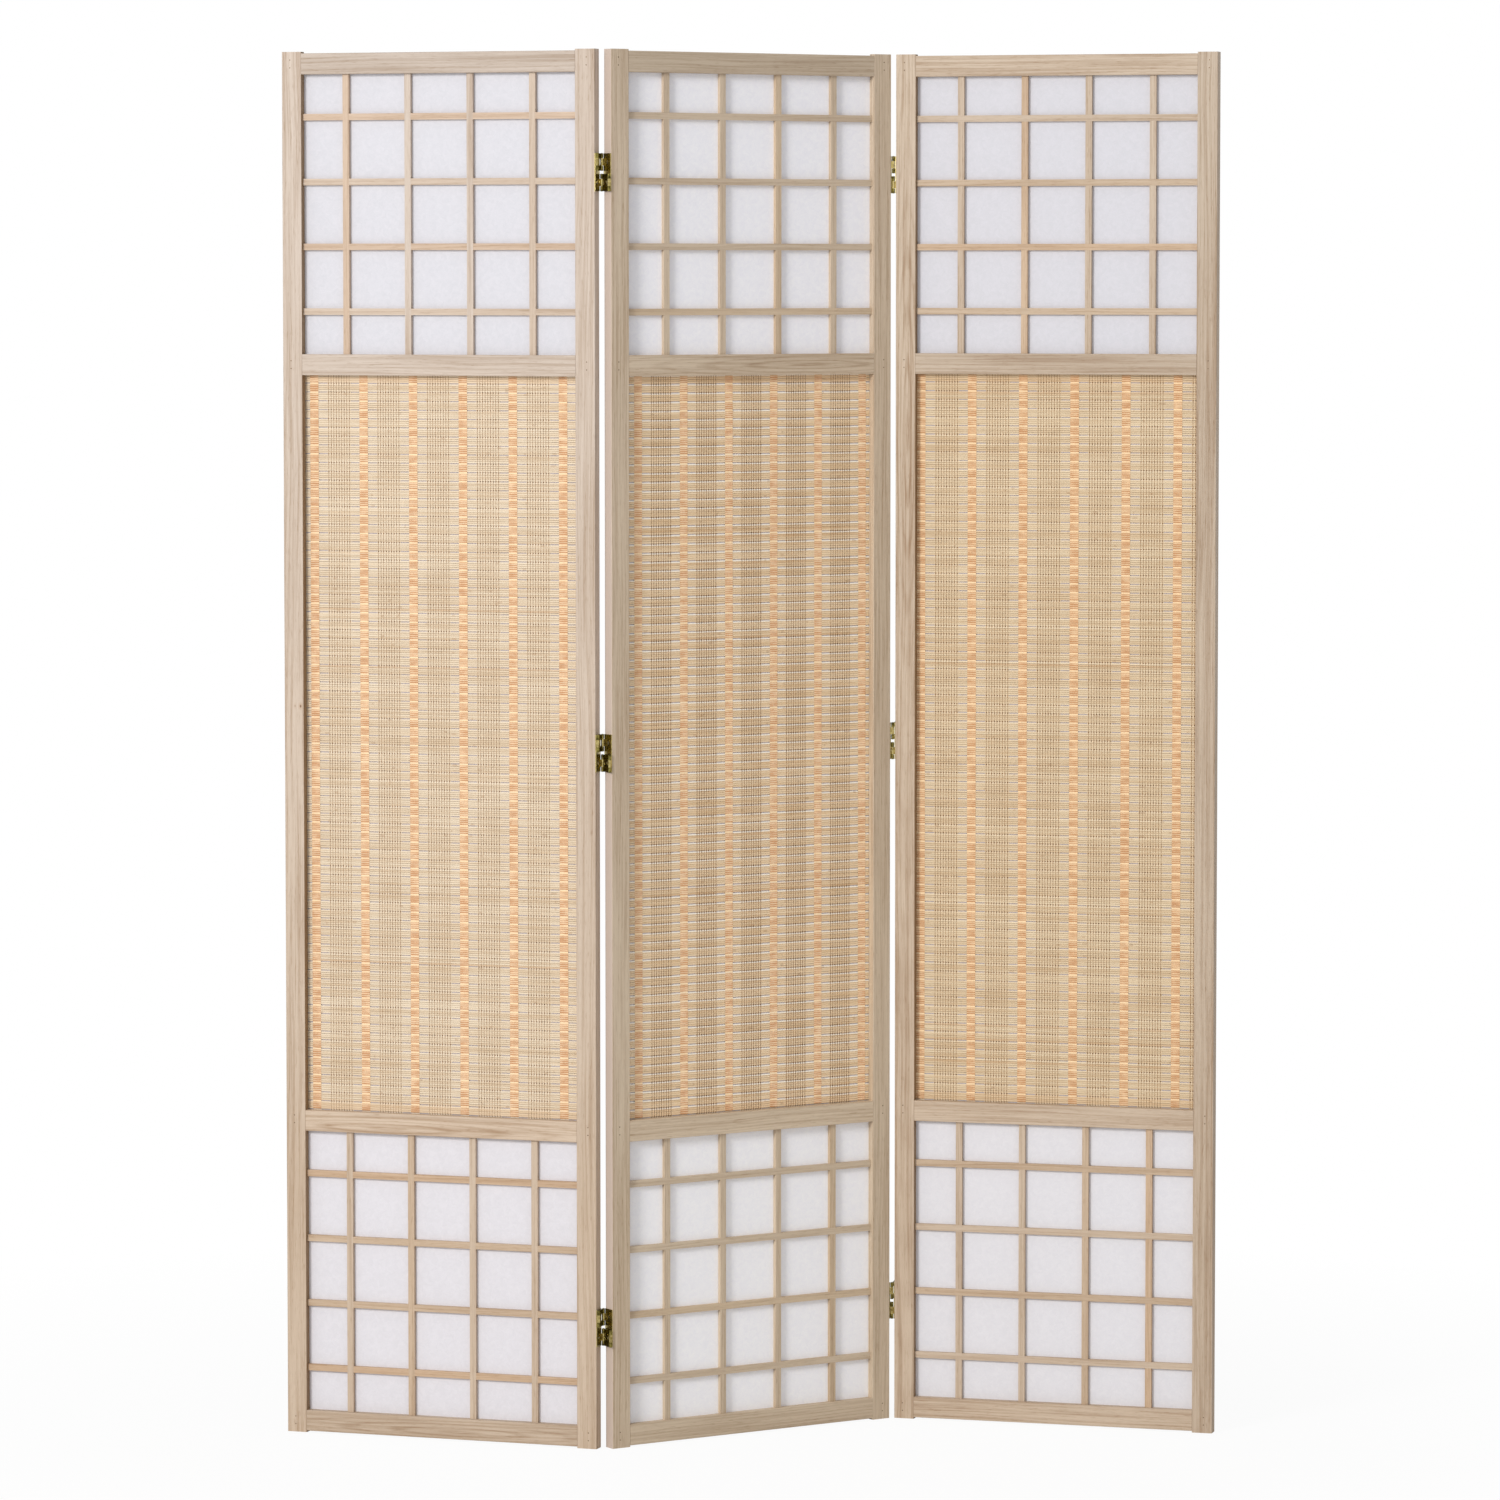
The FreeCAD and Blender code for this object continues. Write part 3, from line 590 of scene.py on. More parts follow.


# Sheet colours with painted light: paler middle and lower sheets, and painted shade on the mat
# sheets.
PAPER_WITH_PAINTED_LIGHT = {
    ("left_panel", "upper_paper"): (srgb(207, 207, 213), srgb(217, 216, 222)),
    ("left_panel", "lower_paper"): (srgb(215, 213, 218), srgb(224, 222, 227)),
    ("left_panel", "mat_paper"): (srgb(198, 189, 192), srgb(206, 198, 200)),
    ("middle_panel", "upper_paper"): (srgb(240, 240, 247), srgb(250, 250, 253)),
    ("middle_panel", "lower_paper"): (srgb(244, 244, 249), srgb(253, 253, 254)),
    ("middle_panel", "mat_paper"): (srgb(226, 218, 222), srgb(232, 225, 228)),
    ("right_panel", "upper_paper"): (srgb(208, 208, 214), srgb(217, 216, 223)),
    ("right_panel", "lower_paper"): (srgb(219, 218, 223), srgb(227, 226, 230)),
    ("right_panel", "mat_paper"): (srgb(198, 189, 192), srgb(206, 198, 200)),
}
for (panel, sheet), colors in PAPER_WITH_PAINTED_LIGHT.items():
    dress(f"{panel}_{sheet}", screen_paper(f"{panel} {sheet}", panel, *colors))
print("papers dressed:", len(PAPER_WITH_PAINTED_LIGHT))

# %% [markdown]
# ## Bamboo mats
# A mat is split bamboo: slats about 2.5 mm wide lie in bundles of four, with an open gap after
# each bundle. Cotton threads run down through them, over one slat and under the next. They lie
# close together in narrow bands and a few millimetres apart in wider ones. Slats and threads are
# real geometry, so the gaps are open, and the paper behind the mat shows through them.

# %% Mat sizes
MAT_BOTTOM = 0.4235
MAT_TOP = 1.375
MAT_OVERLAP = 0.0045
MAT_PLANE = 0.0114
BUNDLE_PITCH = 0.01135
GAP = 0.0011
SLATS_PER_BUNDLE = 4
SLAT_THICKNESS = 0.0010
SLAT_SEAM = 0.00012
SLAT_ROUND = 0.0003
slat_pitch = (BUNDLE_PITCH - GAP) / SLATS_PER_BUNDLE
slat_height = slat_pitch - SLAT_SEAM
mat_left = STILE - MAT_OVERLAP
mat_right = PANEL_WIDTH - STILE + MAT_OVERLAP
mat_width = mat_right - mat_left
bundles = int((MAT_TOP - MAT_BOTTOM + 2 * MAT_OVERLAP + GAP) // BUNDLE_PITCH)
hem = (MAT_TOP - MAT_BOTTOM + 2 * MAT_OVERLAP - bundles * BUNDLE_PITCH + GAP) / 2
first_slat = MAT_BOTTOM - MAT_OVERLAP + hem + slat_pitch / 2
slat_centres = [
    first_slat + bundle * BUNDLE_PITCH + i * slat_pitch
    for bundle in range(bundles) for i in range(SLATS_PER_BUNDLE)
]
print(bundles, "bundles,", len(slat_centres), "slats in each mat")


def finish_piece(bm, name, body, *materials):
    """Turns a bmesh in room coordinates into a piece that rides on a body."""
    mesh = bpy.data.meshes.new(name)
    bm.to_mesh(mesh)
    bm.free()
    piece = bpy.data.objects.new(name, mesh)
    bpy.context.scene.collection.objects.link(piece)
    for material in materials:
        mesh.materials.append(material)
    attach(piece, body)
    return piece


# %% [markdown]
# One slat is a cube stretched to a bar, with its long edges taken off. The rest are copies, each
# a hair higher, lower, thicker or more forward, as hand-split bamboo is. A number kept on each
# slat's faces tells the shader its own tone.

# %% Slats
SLAT_TILT = 0.0006
SLAT_STRAY = 0.00006
SLAT_RISE = 0.00004


def slats(panel, material):
    bm = bmesh.new()
    tone = bm.faces.layers.float.new("slat_tone")
    bmesh.ops.create_cube(bm, size=1.0)
    bmesh.ops.scale(bm, vec=(mat_width, SLAT_THICKNESS, slat_height), verts=bm.verts)
    long_edges = [e for e in bm.edges if abs(e.verts[0].co.x - e.verts[1].co.x) > mat_width / 2]
    bmesh.ops.bevel(
        bm, geom=long_edges, offset=SLAT_ROUND, segments=1, affect="EDGES", profile=0.5,
        material=-1)
    pattern = list(bm.verts) + list(bm.edges) + list(bm.faces)
    chance = random.Random(panel)
    middle = (mat_left + mat_right) / 2
    for z in slat_centres:
        copy = bmesh.ops.duplicate(bm, geom=pattern)["geom"]
        verts = [g for g in copy if isinstance(g, bmesh.types.BMVert)]
        value = chance.random()
        for g in copy:
            if isinstance(g, bmesh.types.BMFace):
                g[tone] = value
        thick, high = chance.uniform(0.85, 1.1), chance.uniform(0.93, 1.0)
        bmesh.ops.scale(bm, vec=(1.0, thick, high), verts=verts)
        slope = Matrix.Rotation(chance.uniform(-SLAT_TILT, SLAT_TILT), 3, "Y")
        bmesh.ops.rotate(bm, cent=(0.0, 0.0, 0.0), matrix=slope, verts=verts)
        depth = MAT_PLANE + chance.uniform(-SLAT_STRAY, SLAT_STRAY)
        height = z + chance.uniform(-SLAT_RISE, SLAT_RISE)
        bmesh.ops.translate(bm, vec=(middle, depth, height), verts=verts)
    bmesh.ops.delete(bm, geom=pattern, context="VERTS")
    bmesh.ops.transform(bm, matrix=panel_matrix(panel), verts=bm.verts)
    return finish_piece(bm, f"{panel}_bamboo_slats", panel, material)


print("one slat is", round(slat_height * 1000, 2), "mm high,", round(mat_width, 3), "m long")


# %% [markdown]
# ## Threads
# A thread could be a swept tube, but thousands of crossings would make too many faces. Here it is
# a narrow strip of a grid whose rows are pushed forward over one slat and back under the next.
# Threads run in pairs that cross at every seam, so each slat is held from both sides. In the open
# gaps the crossings show as small lumps. In a band the threads lie so close that they make one
# ribbed ribbon, which swells over every slat and dips at every seam.

# %% Rows of a thread
THREAD_LIFT = 0.00072
GAP_LIFT = 0.0006
RIB_CREST = -0.00078
RIB_DIP = -0.00040
# The lump in a gap, as rows of (height from the gap's middle, share of the width)
GAP_LUMP = ((-0.0007, 1.0), (-0.0002, 2.1), (0.0002, 2.1), (0.0007, 1.0))
# A rib over a slat, as rows of (height in slat pitches from the slat's middle, depth)
RIB = ((-0.46, RIB_DIP), (-0.24, RIB_CREST), (0.18, RIB_CREST), (0.38, RIB_DIP))


def strip(bm, u, width, rows, columns=1):
    """A vertical strip of grid at u, through rows of (height, depth, share of the width)."""
    steps = len(rows) - 1
    grid = bmesh.ops.create_grid(bm, x_segments=columns, y_segments=steps, size=0.5)
    for vert in grid["verts"]:
        z, depth, share = rows[round((vert.co.y + 0.5) * steps)]
        vert.co = Vector((u + vert.co.x * width * share, depth, z))


def woven_rows(phase):
    """Over one slat and under the next. In the open gaps the thread comes forward and swells."""
    rows = [(slat_centres[0] - slat_pitch, MAT_PLANE, 1.0)]
    for i, z in enumerate(slat_centres):
        if i and i % SLATS_PER_BUNDLE == 0:
            gap_middle = z - (slat_pitch + GAP) / 2
            for dz, swell in GAP_LUMP:
                rows.append((gap_middle + dz, MAT_PLANE - GAP_LIFT, swell))
        side = -1.0 if (i + phase) % 2 else 1.0
        for part in (-0.3, 0.3):
            rows.append((z + slat_pitch * part, MAT_PLANE + side * THREAD_LIFT, 1.0))
    return rows


def ribbed_rows():
    """Forward over every slat and back at every seam."""
    rows = []
    for z in slat_centres:
        for part, lift in RIB:
            rows.append((z + slat_pitch * part, MAT_PLANE + lift, 1.0))
    return rows


print("rows in a stitch thread:", len(woven_rows(0)), "and in a band:", len(ribbed_rows()))


# %% [markdown]
# Each mat has six narrow bands, and wide stitched zones between them and at its sides. A number
# on a band's points tells its shader how high they lie, so that the ribs can be orange and the
# seams pale. Behind the bands and zones, the threads' backs close the gaps.

# %% Thread pieces
BAND_WIDTH = 0.0115
STITCH_STEP = 0.0036
STITCHES = 9
THREAD_WIDTH = {"left_panel": 0.00052, "middle_panel": 0.00066, "right_panel": 0.00056}
TWIN_WIDTH = 0.8
TWIN_OFFSET = 0.00004
STITCH_MARGIN = 0.006
BACK_MARGIN = 0.004
BACK_PLANE = 0.01198


def stitches(panel, zones, material):
    """The threads of the wide zones, in pairs."""
    bm = bmesh.new()
    width = THREAD_WIDTH[panel]
    for zone in zones:
        for j in range(STITCHES):
            u = zone + STITCH_STEP * (j - (STITCHES - 1) / 2)
            if mat_left + STITCH_MARGIN < u < mat_right - STITCH_MARGIN:
                strip(bm, u - TWIN_OFFSET, width, woven_rows(j % 2))
                strip(bm, u + TWIN_OFFSET, width * TWIN_WIDTH, woven_rows(1 - j % 2))
    bmesh.ops.transform(bm, matrix=panel_matrix(panel), verts=bm.verts)
    return finish_piece(bm, f"{panel}_stitch_threads", panel, material)


def bands(panel, places, material):
    """The ribbed ribbons of close threads."""
    bm = bmesh.new()
    height = bm.verts.layers.float.new("rib_height")
    for u in places:
        strip(bm, u, BAND_WIDTH, ribbed_rows(), columns=2)
    for vert in bm.verts:
        vert[height] = (vert.co.y - MAT_PLANE - RIB_DIP) / (RIB_CREST - RIB_DIP)
    bmesh.ops.transform(bm, matrix=panel_matrix(panel), verts=bm.verts)
    return finish_piece(bm, f"{panel}_band_threads", panel, material)


def backs(panel, zones, places, material):
    """Plain strips behind the slats where threads run, so that no paper shows in the gaps there."""
    bm = bmesh.new()
    ends = (slat_centres[0] - slat_pitch, slat_centres[-1] + slat_pitch)
    full = [(z, BACK_PLANE, 1.0) for z in ends]
    stitched_width = STITCH_STEP * STITCHES
    for zone in zones:
        low = max(zone - stitched_width / 2, mat_left + BACK_MARGIN)
        high = min(zone + stitched_width / 2, mat_right - BACK_MARGIN)
        if high > low:
            strip(bm, (low + high) / 2, high - low, full)
    for u in places:
        strip(bm, u, BAND_WIDTH, full)
    bmesh.ops.transform(bm, matrix=panel_matrix(panel), verts=bm.verts)
    return finish_piece(bm, f"{panel}_thread_backs", panel, material)


print("a stitched zone is", round(STITCH_STEP * STITCHES * 1000, 1), "mm wide")


# %% [markdown]
# ## Bamboo
# Light catches the upper edge of each bundle. Its pale rim is a painted highlight: it could be
# faces of its own, but it runs over slats and bands alike, so both materials work it out from the
# height in the mat.

# %% Bundle rims
RIM_HEIGHT = 0.0014


def rim_painted_highlight(tree, z):
    """1 on the upper edge of every bundle, where the pale painted highlight goes, 0 elsewhere."""
    bundle_base = slat_centres[0] - slat_pitch / 2
    risen = calc(tree, "DIVIDE", calc(tree, "SUBTRACT", z, bundle_base), BUNDLE_PITCH)
    phase = calc(tree, "FRACT", risen)
    top = (BUNDLE_PITCH - GAP - RIM_HEIGHT) / BUNDLE_PITCH
    return spread(tree, phase, top - 0.02, top + 0.01)


print("a rim takes", round(RIM_HEIGHT / slat_pitch, 2), "of a slat")

# %% [markdown]
# Bamboo is straw-coloured and streaked along the slat, with a darker scar here and there where a
# leaf grew. A few slats are a little browner all along, and so are the first and last bundles.
# One group lays these over each other in turn, and each mat gives it its own straw.

# %% Split bamboo group
SCAR_COLOR = srgb(160, 118, 76)
BROWN_COLOR = srgb(196, 140, 84)
END_COLOR = srgb(232, 170, 92)
END_START, END_FULL = 0.014, 0.009
bamboo_tree, bamboo_in, bamboo_out = new_group(
    "split bamboo",
    [("Vector", "Vector", (0.0, 0.0, 0.0)), ("Tone", "Float", 0.5),
     ("Pale", "Color", (0.8, 0.7, 0.5, 1.0)), ("Straw", "Color", (0.7, 0.5, 0.3, 1.0)),
     ("Rim Highlight Color", "Color", (0.9, 0.8, 0.7, 1.0)), ("Rim Highlight Share", "Float", 0.5)],
    [("Color", "Color"), ("Roughness", "Float"), ("Height", "Float")],
)

# Straw: warmer or paler by streak, by slat and slowly along the mat
bamboo_parts = add(bamboo_tree, "ShaderNodeSeparateXYZ", {0: bamboo_in["Vector"]}).outputs
streaks = vector_calc(bamboo_tree, "MULTIPLY", bamboo_in["Vector"], (0.03, 1.0, 1.0))
streak = spread(bamboo_tree, noise(bamboo_tree, streaks, 2200.0, 2.0, 0.6), 0.3, 0.7)
rows = vector_calc(bamboo_tree, "MULTIPLY", bamboo_in["Vector"], (0.6, 0.0, 1.0))
drift = spread(bamboo_tree, noise(bamboo_tree, rows, 26.0, 2.0), 0.3, 0.7)
own = calc(bamboo_tree, "MULTIPLY", bamboo_in["Tone"], 0.5)
warmth = calc(bamboo_tree, "ADD", own, calc(bamboo_tree, "MULTIPLY", streak, 0.22))
warmth = calc(bamboo_tree, "ADD", warmth, calc(bamboo_tree, "MULTIPLY", drift, 0.32), clamp=True)
straw = mixed(bamboo_tree, warmth, bamboo_in["Pale"], bamboo_in["Straw"])
# Painted highlight: the pale upper rim of each bundle, mixed over the straw colour.
rim = rim_painted_highlight(bamboo_tree, bamboo_parts["Z"])
rim_highlight_share = calc(bamboo_tree, "MULTIPLY", rim, bamboo_in["Rim Highlight Share"])
rimmed = mixed(bamboo_tree, rim_highlight_share, straw, bamboo_in["Rim Highlight Color"])

# Scars, the odd brown slat and the end bundles
slat_key = add(bamboo_tree, "ShaderNodeCombineXYZ", {
    "X": calc(bamboo_tree, "MULTIPLY", bamboo_parts["X"], 3.1),
    "Y": calc(bamboo_tree, "MULTIPLY", bamboo_in["Tone"], 57.0)}).outputs[0]
scar = spread(bamboo_tree, noise(bamboo_tree, slat_key, 26.0, 0.0), 0.78, 0.80)
scarred = mixed(bamboo_tree, calc(bamboo_tree, "MULTIPLY", scar, 0.3), rimmed, SCAR_COLOR)
brown_slat = spread(bamboo_tree, bamboo_in["Tone"], 0.991, 0.992, 0.0, 0.18)
browned = mixed(bamboo_tree, brown_slat, scarred, BROWN_COLOR)
from_middle = calc(bamboo_tree, "SUBTRACT", bamboo_parts["Z"], (MAT_BOTTOM + MAT_TOP) / 2)
from_middle = calc(bamboo_tree, "ABSOLUTE", from_middle)
half_mat = (MAT_TOP - MAT_BOTTOM) / 2
at_end = spread(bamboo_tree, from_middle, half_mat - END_START, half_mat - END_FULL, 0.0, 0.1)
ended = mixed(bamboo_tree, at_end, browned, END_COLOR)
bamboo_gloss = spread(bamboo_tree, streak, 0.0, 1.0, 0.42, 0.6)
give(bamboo_tree, bamboo_out, Color=ended, Roughness=bamboo_gloss, Height=streak)
print("split bamboo group:", len(bamboo_tree.nodes), "nodes")

# %% [markdown]
# The three mats were woven alike but hang differently. For each, "first" is where its first band
# runs and "pitch" is the step to the next. "rim" and "band_rim" say how much the pale rims, a
# painted highlight, show on slats and on bands, and one single colour is that highlight's. The rest
# are pairs of colours that noise mixes: slats, the bands' seams and ribs, the stitches, and the
# threads' backs.

# %% Mat looks
MATS = {
    "left_panel": {
        "first": 0.0387, "pitch": 0.06824, "rim": 0.22, "band_rim": 0.4,
        "slat": (srgb(230, 214, 189), srgb(206, 181, 148)), "rim_highlight_color": srgb(244, 232, 212),
        "band": (srgb(238, 208, 172), srgb(196, 145, 102)),
        "stitch": (srgb(176, 134, 94), srgb(128, 90, 56)),
        "back": (srgb(246, 236, 220), srgb(232, 212, 186)),
    },
    "middle_panel": {
        "first": 0.0464, "pitch": 0.06858, "rim": 0.95, "band_rim": 0.6,
        "slat": (srgb(248, 225, 191), srgb(224, 192, 149)), "rim_highlight_color": srgb(255, 248, 236),
        "band": (srgb(254, 226, 190), srgb(214, 160, 114)),
        "stitch": (srgb(164, 118, 76), srgb(114, 76, 44)),
        "back": (srgb(250, 236, 216), srgb(236, 212, 182)),
    },
    "right_panel": {
        "first": 0.0318, "pitch": 0.06846, "rim": 0.3, "band_rim": 0.4,
        "slat": (srgb(228, 209, 177), srgb(202, 174, 136)), "rim_highlight_color": srgb(244, 228, 202),
        "band": (srgb(236, 204, 164), srgb(194, 143, 98)),
        "stitch": (srgb(172, 130, 86), srgb(126, 88, 52)),
        "back": (srgb(244, 230, 206), srgb(228, 204, 172)),
    },
}
print("mats described:", len(MATS))


# %% [markdown]
# Three kinds of material make a mat: bamboo, plain cotton, and the ribbed cotton of the bands.
# Cotton is matt, a little fuzzy, and its dye is uneven, so noise at two sizes mixes its two
# colours.

# %% Mat materials
# Painted highlight colour for the upper rim of each bundle on the bands.
RIB_PAINTED_HIGHLIGHT = srgb(255, 228, 184)


def bamboo(panel, looks):
    """Slats: each reads its own tone from its faces."""
    material, tree, shader = new_material(f"split bamboo, {panel}")
    tone = add(tree, "ShaderNodeAttribute", attribute_name="slat_tone").outputs["Fac"]
    pale, straw_color = looks["slat"]
    settings = {
        "Vector": panel_place(tree, panel), "Tone": tone, "Pale": pale, "Straw": straw_color,
        "Rim Highlight Color": looks["rim_highlight_color"], "Rim Highlight Share": looks["rim"],
    }
    group = use_group(tree, bamboo_tree, settings)
    finish_shader(tree, shader, group.outputs["Color"], group, 0.00008)
    return material


def cotton(name, panel, pale, dark):
    """Plain thread."""
    material, tree, shader = new_material(name, 0.85)
    place = panel_place(tree, panel)
    dye = spread(tree, noise(tree, place, 60.0, 2.0), 0.3, 0.7)
    twist = spread(tree, noise(tree, place, 2600.0, 1.0), 0.35, 0.65)
    depth = calc(tree, "ADD", calc(tree, "MULTIPLY", dye, 0.5), calc(tree, "MULTIPLY", twist, 0.5))
    tree.links.new(mixed(tree, depth, pale, dark), shader.inputs["Base Color"])
    bump(tree, shader, twist, 0.00005)
    return material


def ribbed_cotton(name, panel, seam, rib, rim_highlight_share):
    """Close threads: orange on the ribs, pale in the seams, the dye changing from rib to rib, with
    a painted highlight on each bundle's upper rim.
    """
    material, tree, shader = new_material(name, 0.8)
    place = panel_place(tree, panel)
    height = add(tree, "ShaderNodeAttribute", attribute_name="rib_height").outputs["Fac"]
    single = noise(tree, vector_calc(tree, "MULTIPLY", place, (1.0, 1.0, 0.1)), 1900.0, 1.0)
    row = noise(tree, vector_calc(tree, "MULTIPLY", place, (0.25, 0.0, 1.0)), 240.0, 2.0, 0.7)
    batch = noise(tree, vector_calc(tree, "MULTIPLY", place, (0.6, 0.0, 1.0)), 85.0, 1.0)
    uneven = calc(tree, "ADD", spread(tree, single, 0.3, 0.7, -0.15, 0.15), spread(
        tree, row, 0.34, 0.66, -0.3, 0.3))
    uneven = calc(tree, "ADD", uneven, spread(tree, batch, 0.35, 0.65, -0.2, 0.2))
    level = calc(tree, "ADD", calc(tree, "MULTIPLY", height, 0.9), uneven, clamp=True)
    height_up = add(tree, "ShaderNodeSeparateXYZ", {0: place}).outputs["Z"]
    # Painted highlight on the upper rim of each bundle, over the ribbed colour.
    painted_highlight = calc(tree, "MULTIPLY", rim_painted_highlight(tree, height_up), rim_highlight_share)
    color = mixed(tree, painted_highlight, mixed(tree, level, seam, rib), RIB_PAINTED_HIGHLIGHT)
    tree.links.new(color, shader.inputs["Base Color"])
    bump(tree, shader, single, 0.00008)
    return material


print("mat materials:", ", ".join(f.__name__ for f in (bamboo, cotton, ribbed_cotton)))

# %% [markdown]
# Now each mat is made. The slats take the place of the CAD's plain bundles, and the threads ride
# on the same panel.

# %% Mats
BANDS = 6
for panel in PANELS:
    looks = MATS[panel]
    slat_piece = slats(panel, bamboo(panel, looks))
    band_places = [looks["first"] + looks["pitch"] * i for i in range(BANDS)]
    zones = [looks["first"] + looks["pitch"] * (i + 0.5) for i in range(-1, BANDS)]
    stitch_cotton = cotton(f"brown cotton, {panel}", panel, *looks["stitch"])
    back_cotton = cotton(f"straw cotton, {panel}", panel, *looks["back"])
    band_cotton = ribbed_cotton(f"orange cotton, {panel}", panel, *looks["band"], looks["band_rim"])
    mat_pieces = [
        slat_piece, stitches(panel, zones, stitch_cotton), bands(panel, band_places, band_cotton),
        backs(panel, zones, band_places, back_cotton),
    ]
    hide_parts(f"{panel}_bamboo_mat")
    for piece in mat_pieces:
        print(piece.name, len(piece.data.polygons), "faces")

# %% [markdown]
# ## Hinges
# The leaves were polished and lacquered; the links are duller, with brown tarnish in the corners
# and rubbed bright edges. The links' near-black tarnish colour is partly painted dark reflection.
# Both start from the same group: patches of tarnish from noise, and fine scratches from noise
# stretched along the metal.

# %% Worn metal group
brass_tree, brass_in, brass_out = new_group(
    "worn metal",
    [("Vector", "Vector", (0.0, 0.0, 0.0)), ("Bright", "Color", (0.6, 0.5, 0.2, 1.0)),
     ("Tarnish", "Color", (0.2, 0.15, 0.05, 1.0)), ("Amount", "Float", 0.5),
     ("Smooth", "Float", 0.2), ("Rough", "Float", 0.5)],
    [("Color", "Color"), ("Roughness", "Float"), ("Height", "Float")],
)
patch = spread(brass_tree, noise(brass_tree, brass_in["Vector"], 240.0, 4.0, 0.6), 0.38, 0.66)
rub = vector_calc(brass_tree, "MULTIPLY", brass_in["Vector"], (1.0, 1.0, 0.08))
scratch = noise(brass_tree, rub, 5200.0, 1.0)
tarnished = calc(brass_tree, "MULTIPLY", patch, brass_in["Amount"])
metal_color = mixed(brass_tree, tarnished, brass_in["Bright"], brass_in["Tarnish"])
rough_span = calc(brass_tree, "SUBTRACT", brass_in["Rough"], brass_in["Smooth"])
metal_rough = calc(brass_tree, "MULTIPLY", patch, rough_span)
metal_rough = calc(brass_tree, "ADD", brass_in["Smooth"], metal_rough)
give(brass_tree, brass_out, Color=metal_color, Roughness=metal_rough, Height=scratch)
print("worn metal group:", len(brass_tree.nodes), "nodes")


# %% [markdown]
# A metal is a fully metallic shader with its own bright and tarnished colours, the amount of
# tarnish, and how smooth or rough it is where clean and where tarnished.

# %% Metals
def metal(name, bright, tarnish, amount, smooth, rough):
    material, tree, shader = new_material(name)
    settings = {
        "Vector": tree.nodes.new("ShaderNodeTexCoord").outputs["Object"], "Bright": bright,
        "Tarnish": tarnish, "Amount": amount, "Smooth": smooth, "Rough": rough,
    }
    group = use_group(tree, brass_tree, settings)
    shader.inputs["Metallic"].default_value = 1.0
    finish_shader(tree, shader, group.outputs["Color"], group, 0.00002)
    return material


leaf_brass = metal("lacquered brass", srgb(206, 190, 128), srgb(112, 92, 36), 0.75, 0.16, 0.35)
# The links' near-black tarnish is partly painted dark reflection.
link_brass_and_dark_reflection = metal("tarnished brass, painted dark reflection", srgb(150, 138, 74), srgb(40, 34, 10), 0.95, 0.14, 0.4)
screw_metal = metal("nickel plate", srgb(206, 200, 190), srgb(130, 118, 98), 0.4, 0.2, 0.4)
for side in ("left_hinges", "right_hinges"):
    for leaf in ("left_leaves", "right_leaves"):
        dress(f"{side}_{leaf}", leaf_brass)
    for half in ("upper", "lower"):
        dress(f"{side}_{half}_links", link_brass_and_dark_reflection)
        dress(f"{side}_{half}_pins", link_brass_and_dark_reflection)
for panel in PANELS:
    dress(f"{panel}_hinge_screws", screw_metal)
print("hinges dressed with", leaf_brass.name, "and", link_brass_and_dark_reflection.name)

# %% [markdown]
# ## Brads
# Each rail is pinned through each of its tenons by two small brads, whose heads show as dots on
# the stiles. A head is a ball pressed flat.

# %% Brads
RAIL_CENTRES = (0.0155, 0.410, 1.3885, 1.7745)
BRAD_RADIUS = 0.0008
BRAD_IN = STILE * 0.42
BRAD_RISE = 0.005


def brads(panel):
    bm = bmesh.new()
    for rail in RAIL_CENTRES:
        for u in (BRAD_IN, PANEL_WIDTH - BRAD_IN):
            for dz in (-BRAD_RISE, BRAD_RISE):
                head = bmesh.ops.create_uvsphere(
                    bm, u_segments=10, v_segments=6, radius=BRAD_RADIUS)["verts"]
                bmesh.ops.scale(bm, vec=(1.0, 0.25, 1.0), verts=head)
                bmesh.ops.translate(bm, vec=(u, 0.0, rail + dz), verts=head)
    bmesh.ops.transform(bm, matrix=panel_matrix(panel), verts=bm.verts)
    brad_metal = metal(f"brad steel, {panel}", srgb(120, 104, 84), srgb(84, 66, 48), 0.6, 0.35, 0.6)
    piece = finish_piece(bm, f"{panel}_brads", panel, brad_metal)
    return piece


for panel in PANELS:
    print(brads(panel).name)

# %% [markdown]
# ## Floor
# The photograph's ground is white and all but shadowless. A pale floor alone would look grey, and
# more light would bleach the screen. So the camera sees mostly a plain white of strength 1, mixed
# with a little of the real floor near the screen, which keeps a trace of shadow. Other rays meet
# the floor itself, so it throws light back up.

# %% Floor
FLOOR_WHITE_NEAR = 0.93
bm = bmesh.new()
bmesh.ops.create_grid(bm, x_segments=1, y_segments=1, size=8.0)
floor_mesh = bpy.data.meshes.new("floor")
bm.to_mesh(floor_mesh)
bm.free()
floor = bpy.data.objects.new("floor", floor_mesh)
bpy.context.scene.collection.objects.link(floor)
floor_material, floor_nodes, floor_shader = new_material("pale floor", 0.9)
floor_shader.inputs["Base Color"].default_value = (0.86, 0.86, 0.86, 1.0)
floor_shader.inputs["Specular IOR Level"].default_value = 0.1
shown = add(floor_nodes, "ShaderNodeEmission", {"Color": (1.0, 1.0, 1.0, 1.0), "Strength": 1.0})
seen = floor_nodes.nodes.new("ShaderNodeLightPath").outputs["Is Camera Ray"]
away = length(floor_nodes, floor_nodes.nodes.new("ShaderNodeTexCoord").outputs["Object"])
white = spread(floor_nodes, away, 0.7, 1.8, FLOOR_WHITE_NEAR, 1.0)
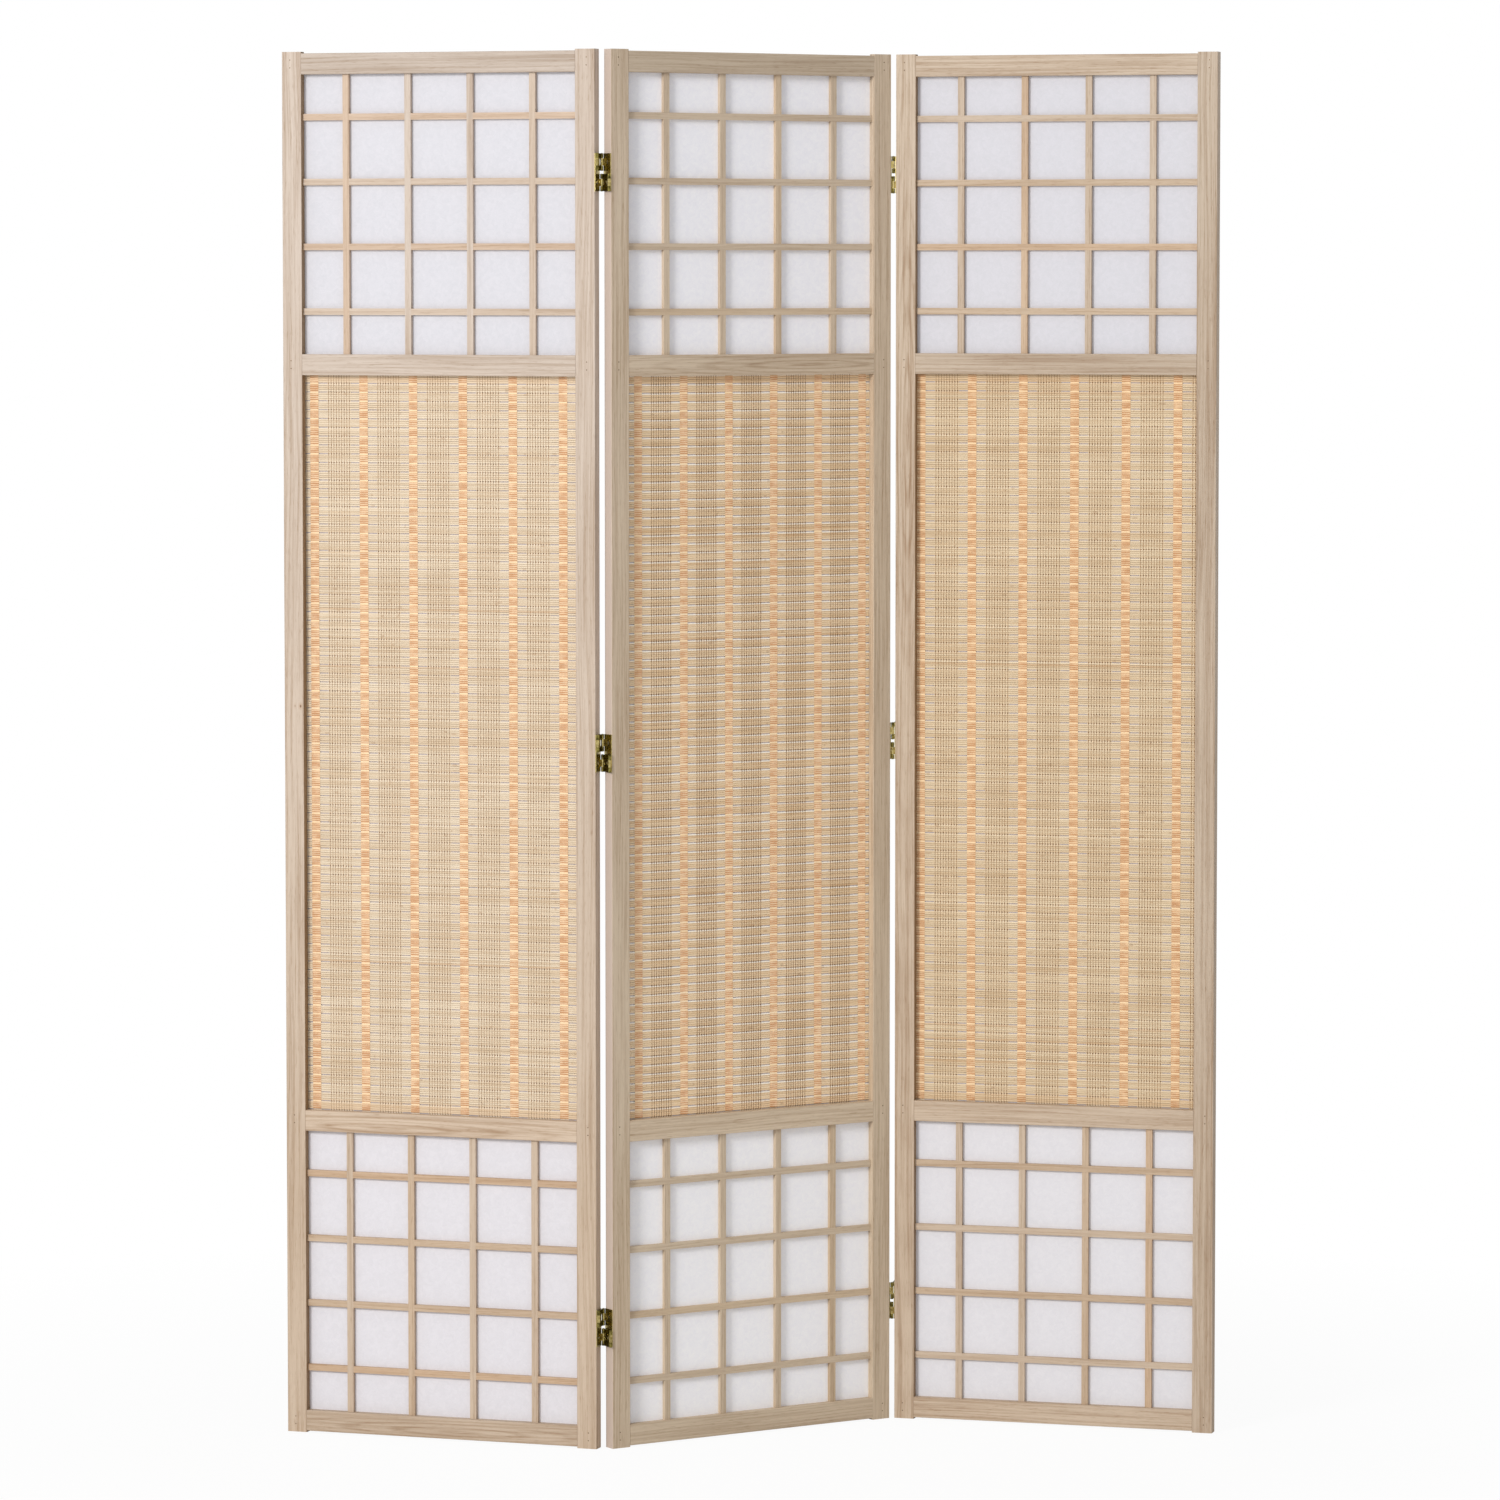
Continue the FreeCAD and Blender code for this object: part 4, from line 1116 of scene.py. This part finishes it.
share = calc(floor_nodes, "MULTIPLY", seen, white)
blend_shader = add(floor_nodes, "ShaderNodeMixShader", {0: share})
floor_nodes.links.new(floor_shader.outputs[0], blend_shader.inputs[1])
floor_nodes.links.new(shown.outputs[0], blend_shader.inputs[2])
surface = floor_nodes.nodes["Material Output"].inputs["Surface"]
floor_nodes.links.new(blend_shader.outputs[0], surface)
floor_mesh.materials.append(floor_material)
print("floor reaches", floor_mesh.vertices[0].co.length, "m from the middle")

# %% [markdown]
# ## Room
# The room is white to the camera and in mirrors, and gives a weaker, even light to all other
# rays. That light fills the shadows.

# %% World
ROOM_LIGHT = 0.56
world = bpy.data.worlds.new("white room")
bpy.context.scene.world = world
world.use_nodes = True
room = world.node_tree
ray = room.nodes.new("ShaderNodeLightPath").outputs
direct = calc(room, "MAXIMUM", ray["Is Camera Ray"], ray["Is Glossy Ray"])
direct = calc(room, "MAXIMUM", direct, ray["Is Transmission Ray"])
strength = spread(room, direct, 0.0, 1.0, ROOM_LIGHT, 1.0)
background = room.nodes["Background"]
background.inputs["Color"].default_value = (1.0, 1.0, 1.0, 1.0)
room.links.new(strength, background.inputs["Strength"])
print("room light", ROOM_LIGHT)


# %% [markdown]
# ## Lamp
# The left panel is the brightest and the middle one the darkest, so the main light stands to the
# left and in front. It is a square lamp 2.1 m wide and about nine metres away, which gives the
# lattice's shadows the soft edges that they have in the photograph.

# %% Lights
def soft_light(name, place, aim, size, watts, color):
    """A square area light at a place, turned to an aim."""
    data = bpy.data.lights.new(name, "AREA")
    data.size = size
    data.energy = watts
    data.color = color
    lamp = bpy.data.objects.new(name, data)
    lamp.location = place
    lamp.rotation_euler = (Vector(aim) - Vector(place)).to_track_quat("-Z", "Y").to_euler()
    bpy.context.scene.collection.objects.link(lamp)
    print(name, "lamp:", watts, "W at", place)


soft_light("key", (-5.2, -7.0, 4.0), (0.0, 0.0, 0.95), 2.1, 485.0, (1.0, 0.985, 0.97))
bpy.context.scene.view_settings.view_transform = "Standard"
